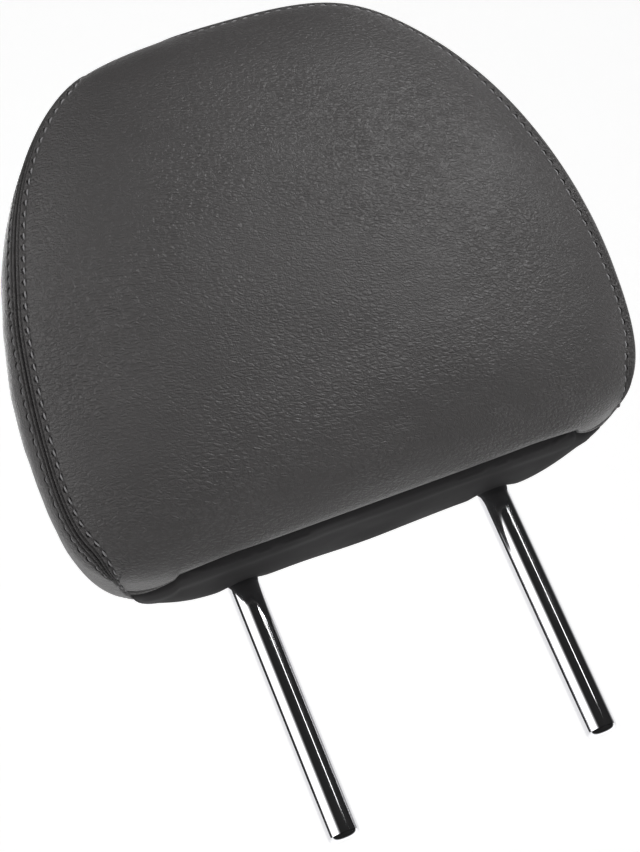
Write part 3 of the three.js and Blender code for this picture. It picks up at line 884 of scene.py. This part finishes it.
def settle(mesh):
    """Notes where the pad would swell to, and draws it back under the cover that holds it."""
    swollen = points_of(mesh).ravel()
    outward = np.array([v.normal for v in mesh.vertices], dtype=np.float32).ravel()
    kept = mesh.attributes.new(SWOLLEN, "FLOAT_VECTOR", "POINT")
    kept.data.foreach_set("vector", swollen)
    mesh.vertices.foreach_set("co", swollen - outward * FOAM_GAP)
    mesh.update()


def swelling(pad, points, normals):
    """How far the pad stands out beyond its own start at each point of the skin."""
    swollen = np.empty(len(pad.data.vertices) * 3, dtype=np.float32)
    pad.data.attributes[SWOLLEN].data.foreach_get("vector", swollen)
    tree = BVHTree.FromPolygons(swollen.reshape(-1, 3).tolist(), faces_of(pad.data))
    out = np.zeros(points.shape[:2])
    for place in np.ndindex(out.shape):
        normal = Vector(normals[place])
        start = Vector(points[place]) + normal * PAD_SEARCH
        hit = tree.ray_cast(start, -normal, 2 * PAD_SEARCH)
        out[place] = PAD_SEARCH - hit[3] if hit[3] is not None else -PAD_INSET
    return out + PAD_INSET


def smoothed(field, run):
    """Evens a field of numbers on a leather panel's grid over a few millimetres."""
    out = field.copy()
    for _ in range(SWELL_PASSES):
        shifts = range(-SWELL_COLUMNS, SWELL_COLUMNS + 1)
        out = np.mean([np.roll(out, shift, axis=1) for shift in shifts], axis=0)
        for i in range(out.shape[1]):
            even = np.linspace(0, run[-1, i], SWELL_STEPS)
            values = np.interp(even, run[:, i], out[:, i])
            kernel = max(3, int(SWELL_REACH / max(even[1], 1e-6)) | 1)
            padded = np.pad(values, kernel // 2, mode="edge")
            values = np.convolve(padded, np.ones(kernel) / kernel, mode="valid")
            out[:, i] = np.interp(run[:, i], even, values)
    out[-1] = out[-1].mean()
    return out


# Relief of the cover, in metres above the skin, by distance from a seam

FREE_REACH = 0.022  # the cover is held down by its seam over this distance
FINE_REACH, FINE_ROWS, WIDE_ROWS = 0.014, 54, 52  # rows across a leather panel
UNDERSIDE_COLUMNS, UNDERSIDE_ROWS = 221, 56
TIP_COLUMNS = 3  # these columns at each tip of the underside panel are too narrow for a normal
LEATHER_INNER_ROWS, UNDERSIDE_INNER_ROWS = 16, 12
SEAM_STEPS = 1200


def twin_seam(run, row):
    """A pressed-open seam with a row of stitches beside it."""
    join = -0.0012 * bell(run, 0, 0.0005)
    lip = 0.00045 * bell(run, 0.0010, 0.0005) - 0.00055 * bell(run, 0.0019, 0.00035)
    stitched = 0.0004 * bell(run, row * 0.68, 0.0007) - 0.0006 * bell(run, row, 0.0008)
    return join + lip + stitched


def roll_edge(run):
    """The face panel's lower edge, rolled under into a deep crease."""
    return 0.0005 * bell(run, 0.0080, 0.0045) - 0.0030 * bell(run, 0, 0.0026)


def fold_edge(run):
    """A plain closed edge, folded in."""
    return 0.0004 * bell(run, 0.004, 0.003) - 0.0018 * bell(run, 0, 0.0011)


def ripple(points, scale, seed):
    """Smooth irregularity, the same in each run."""
    offset = Vector((seed * 7.3, seed * 3.1, seed * 5.7))
    flat = points.reshape(-1, 3)
    values = [noise.noise(Vector(p) * scale + offset) for p in flat]
    return np.array(values).reshape(points.shape[:2])


def gathers(skin, points, free):
    """Short folds that fan out from the underside panel's tips, where three panels meet."""
    out = np.zeros(points.shape[:2])
    for side in (-1, 1):
        turn = np.array([side * skin.under_end])
        tip = skin.point(turn, skin.seam_angle(turn))[0]
        offset = points - tip
        reach = np.linalg.norm(offset, axis=2)
        heading = np.arctan2(offset[..., 2], side * offset[..., 0])
        fold = np.cos(heading * 9 + side * 0.7)
        out += 0.0001 * fold * bell(reach, 0.014, 0.006)
    return out * free


def fine_rows(length):
    """Distances from a leather panel's rim: close together near it, wider beyond."""
    near = np.linspace(0, FINE_REACH, FINE_ROWS, endpoint=False)
    share = np.linspace(0, 1, WIDE_ROWS) ** 1.25
    return np.concatenate([near, FINE_REACH + (length - FINE_REACH) * share])


def two_sided_rows(length):
    """Distances across the underside panel, closer together towards both rims."""
    share = np.linspace(-1, 1, UNDERSIDE_ROWS)
    return length * (0.5 + 0.5 * np.sin(share * math.pi / 2))


def ring_columns(skin, count):
    """Turns round the ring, with one column at each tip of the underside panel."""
    under = max(8, int(round(count * skin.under_end)))
    low = np.linspace(-skin.under_end, skin.under_end, under + 1)
    high = np.linspace(skin.under_end, 2 - skin.under_end, count - under + 1)[1:-1]
    return wrapped(np.concatenate([low, high]))


def stitch_count(skin, cover):
    """Stitches in one row, and the seam's course in turns and stitches over the crown."""
    turns = np.linspace(skin.under_end, 2 - skin.under_end, SEAM_STEPS)
    points = skin.point(turns, skin.seam_angle(turns))
    steps = np.linalg.norm(np.diff(points, axis=0), axis=1)
    course = np.concatenate([[0], np.cumsum(steps)])
    count = int(round(course[-1] / cover.stitch_pitch))
    return count, turns, course / course[-1] * count


def seam_places(skin, cover, turns, run):
    """For each point of a panel: its place along the seam in stitches and its distance from it."""
    _, course_turns, course = stitch_count(skin, cover)
    along = np.interp(np.where(turns < 0, turns + 2, turns), course_turns, course)
    sewn = np.abs(turns) > skin.under_end
    places = np.empty((*run.shape, 2))
    places[..., 0] = along[None, :]
    places[..., 1] = np.where(sewn[None, :], run, NO_SEAM)
    return places


def settings():
    return bpy.context.scene.headrest


def current_skin():
    return Skin(settings().head, settings().cover)


def inner_wall(outer, normals, thickness, rows):
    """The panel's inner wall: fewer rows of the outer one, moved inwards."""
    picked = np.unique(np.linspace(0, outer.shape[0] - 1, rows).astype(int))
    return outer[picked] - normals[picked] * thickness


# Pieces


class HEADREST_OT_pad(bpy.types.Operator):
    """Make the foam pad by blowing it up inside its cover"""

    bl_idname = "headrest.pad"
    bl_label = "Foam Pad"

    def execute(self, context):
        pad = simulate_pad(current_skin())
        finish_piece(pad, foam_material(settings().finish.foam), ["foam_pad"])
        return {"FINISHED"}


def rim_relief(skin, turns, run, lower_edge, before, after):
    """The twin seam's relief, which turns into the lower edge's from before to after a tip."""
    start, end = skin.under_end - before, skin.under_end + after
    low = 1 - smoothstep(start, end, np.abs(turns))[None, :]
    return lerp(twin_seam(run, skin.cover.row_offset), lower_edge(run), low)


def soft_relief(points, normals, run, amount):
    """Swelling of the pad and the hand-made unevenness of a padded cover, held down at the rims."""
    pad = bpy.data.objects["foam_core"]
    swollen = smoothed(swelling(pad, points, normals), run)
    swollen = np.clip(swollen - np.mean(swollen), -SWELL_CAP, SWELL_CAP)
    free = smoothstep(0.0, FREE_REACH, run)
    uneven = 0.0006 * ripple(points, 24, 1) + 0.0002 * ripple(points * [0.6, 1, 1.6], 70, 2)
    return free * (settings().cover.swell * swollen + amount * uneven)


def leather_grid(skin, turns, rim, toward):
    """Points on the skin from a leather panel's rim to its middle, their run and directions."""
    ends = np.full(len(turns), toward)
    points, run = skin.lines(turns, rim, ends, fine_rows)
    return points, run, grid_normals(points, True)


def leather_panel(name, skin, turns, grid, relief, leather_name, node):
    """A leather panel with its relief, its needle holes and its finish."""
    points, run, normals = grid
    outer = points + normals * relief[..., None]
    inner = inner_wall(outer, normals, skin.cover.thickness, LEATHER_INNER_ROWS)
    places = seam_places(skin, skin.cover, turns, run)
    panel = panel_object(name, outer, inner, True, places)
    leather = leather_material(leather_name, settings().finish.leather, skin.cover)
    finish_piece(panel, leather, [node])


class HEADREST_OT_face(bpy.types.Operator):
    """Make the face panel, from its rolled lower edge over the crown"""

    bl_idname = "headrest.face"
    bl_label = "Face Panel"

    def execute(self, context):
        skin = current_skin()
        turns = ring_columns(skin, skin.cover.columns)
        grid = leather_grid(skin, turns, skin.seam_angle(turns), FACE_MIDDLE)
        points, run, normals = grid
        relief = rim_relief(skin, turns, run, roll_edge, before=0.1, after=0.005)
        relief = relief + soft_relief(points, normals, run, amount=1.0)
        relief = relief + gathers(skin, points, smoothstep(0.001, 0.004, run))
        leather_panel(
            "leather_face_panel", skin, turns, grid, relief, "face_leather", "cover_face_panel"
        )
        return {"FINISHED"}


class HEADREST_OT_back(bpy.types.Operator):
    """Make the back panel, from the side seams to the closing edge"""

    bl_idname = "headrest.back"
    bl_label = "Back Panel"

    def execute(self, context):
        skin = current_skin()
        turns = ring_columns(skin, skin.cover.columns)
        grid = leather_grid(skin, turns, skin.closing_angle(turns), BACK_MIDDLE)
        points, run, normals = grid
        relief = rim_relief(skin, turns, run, fold_edge, before=0.02, after=0.01)
        relief = relief + soft_relief(points, normals, run, amount=1.4)
        leather_panel(
            "leather_back_panel", skin, turns, grid, relief, "back_leather", "cover_back_panel"
        )
        return {"FINISHED"}


def underside_relief(points, run, posts):
    """Tucked under the roll in front, fuller outside the posts and drawn in round them."""
    relief = -0.0030 * bell(run, 0, 0.0028) + fold_edge(run[-1][None, :] - run)
    wide = smoothstep(0.015, 0.03, run[-1])[None, :]  # 0 towards the panel's narrow tips
    relief = relief + 0.0007 * bell(run, 0.011, 0.005) * wide
    for side in (-1, 1):
        post = side * posts.spacing / 2
        away = np.hypot(points[..., 0] - post, points[..., 1])
        outside = np.hypot(points[..., 0] - post * 1.25, points[..., 1])
        relief = relief + 0.0024 * bell(outside, 0, 0.028)
        relief = relief - 0.0014 * bell(away, posts.diameter / 2, 0.003)
    return relief + 0.0005 * ripple(points, 40, 3)


def underside_normals(points):
    """Outward directions of the underside panel, steady up to its pointed ends."""
    normals = grid_normals(points, False)
    normals *= -1 if normals[..., 2].mean() > 0 else 1
    normals[:, :TIP_COLUMNS] = normals[:, [TIP_COLUMNS]]
    normals[:, -TIP_COLUMNS:] = normals[:, [-TIP_COLUMNS - 1]]
    return normals


class HEADREST_OT_underside(bpy.types.Operator):
    """Make the underside panel, pressed in a little round the posts"""

    bl_idname = "headrest.underside"
    bl_label = "Underside Panel"

    def execute(self, context):
        skin = current_skin()
        turns = np.linspace(-skin.under_end, skin.under_end, UNDERSIDE_COLUMNS)
        front, rear = skin.seam_angle(turns), skin.closing_angle(turns)
        points, run = skin.lines(turns, front, rear, two_sided_rows)
        normals = underside_normals(points)
        outer = points + normals * underside_relief(points, run, settings().posts)[..., None]
        inner = inner_wall(outer, normals, skin.cover.thickness, UNDERSIDE_INNER_ROWS)
        places = np.full((*run.shape, 2), NO_SEAM)
        panel = panel_object("underside_panel", outer, inner, False, places)
        cloth = underside_material(settings().finish.underside)
        finish_piece(panel, cloth, ["cover_underside_panel"])
        return {"FINISHED"}


# Stitches

ARCH_STEPS, THREAD_SIDES = 7, 8
ARCH_RISE, THREAD_DIP = 2.4, -1.1  # the arch's handle and its feet, in radii of the thread
PATH_STEPS = 4  # points of a row's path for each stitch
GUIDE_REACH = 0.012  # each line of the path goes on to here, which gives it its direction
DROP_HEIGHT, DROP_REACH = 0.008, 0.02  # a row's path is dropped onto its panel from this height


def stitch_tree():
    """A node tree that lays arched stitches along a path of edges."""
    tree = bpy.data.node_groups.new("Stitch Row", "GeometryNodeTree")
    sockets = tree.interface
    for name, kind in (
        ("Geometry", "Geometry"), ("Stitches", "Int"), ("Length", "Float"),
        ("Thread Radius", "Float"), ("Arch", "Float"), ("Slant", "Float"), ("Thread", "Material"),
    ):
        sockets.new_socket(name, in_out="INPUT", socket_type="NodeSocket" + kind)
    sockets.new_socket("Geometry", in_out="OUTPUT", socket_type="NodeSocketGeometry")
    nodes = Nodes(tree)
    given = nodes.add("NodeGroupInput").outputs

    def first(kind, inputs=None, **options):
        return nodes.add(kind, inputs, **options).outputs[0]

    half = nodes.math("MULTIPLY", given["Length"], 0.5)
    minus = nodes.math("MULTIPLY", given["Length"], -0.5)
    dip = nodes.math("MULTIPLY", given["Thread Radius"], THREAD_DIP)
    arch = first("GeometryNodeCurveQuadraticBezier", {
        "Resolution": ARCH_STEPS,
        "Start": first("ShaderNodeCombineXYZ", {0: minus, 2: dip}),
        "Middle": first("ShaderNodeCombineXYZ", {2: given["Arch"]}),
        "End": first("ShaderNodeCombineXYZ", {0: half, 2: dip}),
    })
    section = first("GeometryNodeCurvePrimitiveCircle", {
        "Resolution": THREAD_SIDES, "Radius": given["Thread Radius"],
    })
    stitch = first("GeometryNodeCurveToMesh", {
        "Curve": arch, "Profile Curve": section, "Fill Caps": True,
    })

    outward = first("GeometryNodeInputNamedAttribute", {"Name": "outward"}, data_type="FLOAT_VECTOR")
    upright = first("FunctionNodeAlignRotationToVector", {"Vector": outward}, axis="Z")
    aligned = first(
        "FunctionNodeAlignRotationToVector",
        {"Rotation": upright, "Vector": first("GeometryNodeInputTangent")},
        axis="X", pivot_axis="Z",
    )
    slant = first("ShaderNodeCombineXYZ", {2: given["Slant"]})
    turn = first("FunctionNodeEulerToRotation", {0: slant})
    turned = first("FunctionNodeRotateRotation", {0: aligned, 1: turn}, rotation_space="LOCAL")

    path = first("GeometryNodeMeshToCurve", {0: given["Geometry"]})
    dots = first(
        "GeometryNodeResampleCurve", {"Curve": path, "Count": given["Stitches"]}, mode="COUNT"
    )
    row = first("GeometryNodeInstanceOnPoints", {
        "Points": dots, "Instance": stitch, "Rotation": turned,
    })
    real = first("GeometryNodeRealizeInstances", {0: row})
    smooth = first("GeometryNodeSetShadeSmooth", {0: real})
    painted = first("GeometryNodeSetMaterial", {"Geometry": smooth, "Material": given["Thread"]})
    nodes.add("NodeGroupOutput", {0: painted})
    return tree


def set_input(modifier, name, value):
    """Sets a node modifier's input by the identifier behind its name."""
    for item in modifier.node_group.interface.items_tree:
        if item.item_type == "SOCKET" and item.in_out == "INPUT" and item.name == name:
            modifier[item.identifier] = value
            return
    raise ValueError(f"no input is called {name}")


def row_path(name, panel_name, skin, cover, toward):
    """A path of edges on a panel's surface, beside the seam, from tip to tip over the crown."""
    count, course_turns, course = stitch_count(skin, cover)
    steps = np.linspace(0.5, count - 0.5, (count - 1) * PATH_STEPS + 1)
    turns = np.interp(steps, course, course_turns)
    rim = skin.seam_angle(turns)
    ends = np.full(len(turns), toward)
    across = np.array([0, cover.row_offset, GUIDE_REACH])
    points, _ = skin.lines(turns, rim, ends, lambda length: across)
    normals = grid_normals(points, False)[1]
    middle = points.reshape(-1, 3).mean(axis=0)
    normals *= np.sign(((points[1] - middle) * normals).sum(axis=1).mean())
    panel = bpy.data.objects[panel_name].data
    tree = BVHTree.FromPolygons([v.co for v in panel.vertices], faces_of(panel))
    landed = []
    for point, normal in zip(points[1], normals):
        point, normal = Vector(point), Vector(normal)
        hit = tree.ray_cast(point + normal * DROP_HEIGHT, -normal, DROP_REACH)
        landed.append(hit[0] if hit[0] is not None else point)
    mesh = bpy.data.meshes.new(name)
    mesh.from_pydata(landed, [(i, i + 1) for i in range(len(landed) - 1)], [])
    outward = mesh.attributes.new("outward", "FLOAT_VECTOR", "POINT")
    outward.data.foreach_set("vector", normals.astype(np.float32).ravel())
    return new_object(name, mesh), count


class HEADREST_OT_stitches(bpy.types.Operator):
    """Sew the two rows of stitches beside the side seams"""

    bl_idname = "headrest.stitches"
    bl_label = "Stitches"

    def execute(self, context):
        skin, cover = current_skin(), settings().cover
        tree = stitch_tree()
        thread = thread_material(settings().finish.thread)
        rows = (
            ("stitches_front_row", "leather_face_panel", FACE_MIDDLE, 1),
            ("stitches_rear_row", "leather_back_panel", BACK_MIDDLE, -1),
        )
        for name, panel, toward, slant in rows:
            row, count = row_path(name, panel, skin, cover, toward)
            modifier = row.modifiers.new("Stitches", "NODES")
            modifier.node_group = tree
            for key, value in (
                ("Stitches", count), ("Length", cover.stitch_length),
                ("Thread Radius", cover.thread_radius), ("Arch", cover.thread_radius * ARCH_RISE),
                ("Slant", slant * cover.stitch_slant), ("Thread", thread),
            ):
                set_input(modifier, key, value)
            mesh = plain_mesh(row)
            row.modifiers.remove(modifier)
            row.data = mesh
            finish_piece(row, thread)
        return {"FINISHED"}


# Posts

BEND_STEPS, END_STEPS = 14, 8
END_POINT = 1e-5  # radius of the ring that closes a post's end
STRAIGHT_SHARES = (0.25, 0.5, 0.75)  # rings between the ends of a post's straight stretch


def arc_points(corner, before, after, radius):
    """Points of the arc that rounds a corner of the tube's middle line."""
    into = (corner - before).normalized()
    out = (after - corner).normalized()
    sweep = into.angle(out)
    inward = (out - into * out.dot(into)).normalized()
    start = corner - into * (radius * math.tan(sweep / 2))
    points = []
    for i in range(BEND_STEPS + 1):
        angle = sweep * i / BEND_STEPS
        along = start + into * (radius * math.sin(angle))
        points.append(along + inward * (radius * (1 - math.cos(angle))))
    return points


def tube_line(posts, head):
    """The tube's middle line, from the left post's end over the crossbar to the right one's."""
    x = posts.spacing / 2
    bend = head.underside + posts.bend_height
    bar_y = -posts.upright * math.sin(posts.tilt)
    bar_z = bend + posts.upright * math.cos(posts.tilt)
    corners = [
        Vector((-x, 0, 0)), Vector((-x, 0, bend)), Vector((-x, bar_y, bar_z)),
        Vector((x, bar_y, bar_z)), Vector((x, 0, bend)), Vector((x, 0, 0)),
    ]
    radii = [posts.bend_radius, posts.corner_radius, posts.corner_radius, posts.bend_radius]
    points = []
    for corner, before, after, radius in zip(corners[1:], corners, corners[2:], radii):
        points += arc_points(corner, before, after, radius)
    return corners[0], points, corners[-1]


def post_sections(posts):
    """Radius and height of the rings that round off a post's end."""
    radius, edge = posts.diameter / 2, posts.end_round
    rings = [(END_POINT, 0.0), ((radius - edge) * 0.5, 0.0)]
    for i in range(END_STEPS + 1):
        angle = math.pi / 2 * i / END_STEPS
        rings.append((radius - edge + edge * math.sin(angle), edge - edge * math.cos(angle)))
    return rings


class HEADREST_OT_posts(bpy.types.Operator):
    """Make the bent tube with its two posts"""

    bl_idname = "headrest.posts"
    bl_label = "Posts"

    def execute(self, context):
        posts = settings().posts
        first, bends, last = tube_line(posts, settings().head)
        rounding = post_sections(posts)
        line = [first.lerp(bends[0], share) for share in STRAIGHT_SHARES] + bends
        line += [bends[-1].lerp(last, share) for share in STRAIGHT_SHARES]
        rings = [(first + Vector((0, 0, height)), radius) for radius, height in rounding]
        rings += [(point, posts.diameter / 2) for point in line]
        rings += [(last + Vector((0, 0, height)), radius) for radius, height in reversed(rounding)]
        tube = new_object("chrome_post_tube", swept_mesh("chrome_post_tube", rings, posts.sides))
        chrome = chrome_material(settings().finish.chrome)
        finish_piece(tube, chrome, ["post_frame"])
        return {"FINISHED"}


def swept_mesh(name, rings, sides):
    """A closed tube through rings given by their middle and radius."""
    middles = [middle for middle, _ in rings]
    side = Vector((1, 0, 0))
    points = []
    for i, (middle, radius) in enumerate(rings):
        ahead = middles[min(i + 1, len(rings) - 1)] - middles[max(i - 1, 0)]
        if ahead.length < 1e-6:
            ahead = Vector((0, 0, 1 if i < len(rings) / 2 else -1))
        ahead.normalize()
        side = (side - ahead * side.dot(ahead)).normalized()
        other = ahead.cross(side)
        for k in range(sides):
            angle = 2 * math.pi * k / sides
            points.append(middle + (side * math.cos(angle) + other * math.sin(angle)) * radius)
    faces = [tuple(reversed(face)) for face in grid_faces(len(rings), sides, True)]
    last = (len(rings) - 1) * sides
    faces.append(tuple(range(sides)))
    faces.append(tuple(last + k for k in reversed(range(sides))))
    mesh = bpy.data.meshes.new(name)
    mesh.from_pydata([tuple(p) for p in points], [], faces)
    tidy_mesh(mesh, TUBE_WELD)
    return mesh


class HEADREST_OT_inside(bpy.types.Operator):
    """Give the pieces inside the head their finishes"""

    bl_idname = "headrest.inside"
    bl_label = "Inside Pieces"

    def execute(self, context):
        finish = settings().finish
        plastic = plastic_material(finish.plastic)
        steel = steel_material(finish.steel)
        tape = tape_material(scaled(finish.plastic, 2))
        kinds = {
            "closing_strip_underside": plastic, "closing_strip_back": plastic,
            "carrier_front": plastic, "carrier_rear": plastic, "seam_tape": tape,
        }
        for name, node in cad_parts.items():
            material = steel if name.startswith("carrier_screw") else kinds.get(name)
            if material:
                node.data.materials.clear()
                node.data.materials.append(material)
        return {"FINISHED"}


# Stage

LAMPS = (  # name, place, size, watts and whether the posts mirror it or the world's soft glow
    ("key_lamp", (0.82, -1.05, 0.6), (0.6, 0.4), 8, True),
    ("fill_lamp", (0.6, -1.4, 0.12), (0.9, 0.9), 7, False),
    ("left_lamp", (-1.02, -0.41, 0.4), (0.75, 1.2), 4, False),
    ("right_lamp", (0.72, -1.08, 0.55), (0.09, 1.0), 0.8, True),
    ("back_lamp", (0.0, 1.1, 1.0), (1.4, 0.7), 10, True),
)
FLOOR_STEPS = 16
FLOOR_TONE, FLOOR_GLOW, FLOOR_DARK = 0.7, 0.7, 0.02
SEEN_BEHIND, SEEN_LEFT = (0.229, 0.973, 0), (-0.973, 0.229, 0)  # directions from the headrest
AMBIENT = 0.31


def add_lamp(name, eye, size, power, mirrored, target):
    """Stands a lamp that the camera doesn't see at a point and turns it to another."""
    lamp = bpy.data.lights.new(name, "AREA")
    lamp.shape = "RECTANGLE"
    lamp.size, lamp.size_y = size
    lamp.energy = power
    obj = new_object(name, lamp)
    obj.visible_camera = False
    obj.visible_glossy = mirrored
    turn = (target - Vector(eye)).to_track_quat("-Z", "Y").to_matrix().to_4x4()
    obj.matrix_world = Matrix.Translation(eye) @ turn


def photo_camera(studio):
    """A camera with the photograph's direction, roll and perspective."""
    camera = bpy.data.cameras.new("camera")
    camera.sensor_width = 36
    camera.lens = studio.lens
    camera.clip_start = 0.01
    obj = new_object("camera", camera)
    a, e, r = studio.azimuth, studio.elevation, studio.roll
    forward = Vector((-math.sin(a) * math.cos(e), math.cos(a) * math.cos(e), -math.sin(e)))
    right = forward.cross(Vector((0, 0, 1))).normalized()
    up = right.cross(forward)
    across = right * math.cos(r) + up * math.sin(r)
    upward = up * math.cos(r) - right * math.sin(r)
    eye = Vector(studio.target) - forward * studio.distance
    turn = Matrix((across, upward, -forward)).transposed().to_4x4()
    obj.matrix_world = Matrix.Translation(eye) @ turn
    bpy.context.scene.camera = obj


def floor_mesh(height):
    """A floor that sweeps up into a wall far behind the headrest."""
    half, back, radius, top = 5.0, 2.4, 1.2, 5.0
    profile = [(-half, height), (back - radius, height)]
    for i in range(1, FLOOR_STEPS + 1):
        angle = math.pi / 2 * i / FLOOR_STEPS
        out, up = radius * math.sin(angle), radius * math.cos(angle)
        profile.append((back - radius + out, height + radius - up))
    profile.append((back, top))
    points = [(x, y, z) for y, z in profile for x in (-half, half)]
    faces = [(2 * i, 2 * i + 1, 2 * i + 3, 2 * i + 2) for i in range(len(profile) - 1)]
    mesh = bpy.data.meshes.new("floor")
    mesh.from_pydata(points, [], faces)
    set_smooth(mesh)
    return mesh


def floor_material():
    """Pale floor that keeps shadows; polished metal mirrors it white behind, dark in front."""
    material, shader, nodes = new_material("floor")
    nodes.tree.nodes.remove(shader)
    rays = nodes.add("ShaderNodeLightPath").outputs
    seen = nodes.math("MAXIMUM", rays["Is Camera Ray"], rays["Is Glossy Ray"])
    seen = nodes.math("MAXIMUM", seen, rays["Is Transmission Ray"])
    plain = nodes.add("ShaderNodeBsdfDiffuse", {"Color": (*[FLOOR_TONE] * 3, 1)}).outputs[0]
    glow = nodes.add("ShaderNodeEmission", {
        "Color": (1, 1, 1, 1), "Strength": nodes.math("MULTIPLY", seen, FLOOR_GLOW),
    }).outputs[0]
    both = nodes.add("ShaderNodeAddShader", {0: plain, 1: glow}).outputs[0]
    parts = nodes.add("ShaderNodeSeparateXYZ", {0: nodes.place()})
    near = nodes.ramp(parts.outputs[1], 0.0, 0.12, 1.0, 0.0)
    dim = nodes.math("MULTIPLY", near, rays["Is Glossy Ray"])
    dark = nodes.add("ShaderNodeBsdfDiffuse", {"Color": (*[FLOOR_DARK] * 3, 1)}).outputs[0]
    mixed = nodes.add("ShaderNodeMixShader", {0: dim, 1: both, 2: dark}).outputs[0]
    nodes.fill(nodes.tree.nodes["Material Output"], {"Surface": mixed})
    return material


def light_world():
    """White where the camera looks, dark in front of the headrest for what its metal mirrors."""
    world = bpy.data.worlds.new("studio")
    bpy.context.scene.world = world
    world.use_nodes = True
    nodes = Nodes(world.node_tree)
    rays = nodes.add("ShaderNodeLightPath").outputs
    heading = nodes.add("ShaderNodeTexCoord").outputs["Generated"]
    behind, left = nodes.along(heading, SEEN_BEHIND), nodes.along(heading, SEEN_LEFT)
    soft = nodes.math("POWER", nodes.ramp(left, 0.0, 0.6), 3.0)
    beside = nodes.math("MULTIPLY", soft, nodes.ramp(behind, -0.35, -0.1, 2.2, 0.0))
    band = nodes.ramp(behind, 0.93, 0.98, 1.0, 0.1)
    far = nodes.math("MULTIPLY", nodes.ramp(behind, 0.2, 0.85, 0.02, 1.0), band)
    mirrored = nodes.math("MAXIMUM", far, beside)
    shiny = nodes.math("MAXIMUM", rays["Is Glossy Ray"], rays["Is Transmission Ray"])
    unseen = nodes.mix(shiny, AMBIENT, mirrored)
    level = nodes.mix(rays["Is Camera Ray"], unseen, 1.0)
    nodes.fill(world.node_tree.nodes["Background"], {"Strength": level, "Color": (1, 1, 1, 1)})


class HEADREST_OT_stage(bpy.types.Operator):
    """Set up the camera, the lamps and the floor"""

    bl_idname = "headrest.stage"
    bl_label = "Stage"

    def execute(self, context):
        studio = settings().studio
        context.scene.view_settings.view_transform = "Standard"
        photo_camera(studio)
        light_world()
        for lamp in LAMPS:
            add_lamp(*lamp, Vector(studio.target))
        floor = new_object("floor", floor_mesh(studio.floor_height))
        floor.data.materials.append(floor_material())
        return {"FINISHED"}


class HEADREST_PT_panel(bpy.types.Panel):
    """Lists the headrest's settings and pieces."""

    bl_idname = "HEADREST_PT_panel"
    bl_label = "Headrest"
    bl_space_type = "VIEW_3D"
    bl_region_type = "UI"
    bl_category = "Headrest"

    def draw(self, context):
        layout = self.layout
        for group in ("head", "cover", "posts", "finish", "studio"):
            box = layout.box()
            box.label(text=group.title())
            owner = getattr(settings(), group)
            for key in owner.__annotations__:
                box.prop(owner, key)
        for operator in operators:
            layout.operator(operator.bl_idname)


operators = (
    HEADREST_OT_pad,
    HEADREST_OT_face,
    HEADREST_OT_back,
    HEADREST_OT_underside,
    HEADREST_OT_stitches,
    HEADREST_OT_posts,
    HEADREST_OT_inside,
    HEADREST_OT_stage,
)
groups = (HeadShape, CoverStyle, PostShape, Finish, Studio, HeadrestSettings)
classes = (*groups, *operators, HEADREST_PT_panel)


def register():
    for cls in classes:
        bpy.utils.register_class(cls)
    bpy.types.Scene.headrest = PointerProperty(type=HeadrestSettings)


def unregister():
    del bpy.types.Scene.headrest
    for cls in reversed(classes):
        bpy.utils.unregister_class(cls)


def main():
    register()
    bpy.ops.headrest.pad()
    bpy.ops.headrest.face()
    bpy.ops.headrest.back()
    bpy.ops.headrest.underside()
    bpy.ops.headrest.stitches()
    bpy.ops.headrest.posts()
    bpy.ops.headrest.inside()
    bpy.ops.headrest.stage()


if __name__ == "__main__":
    main()
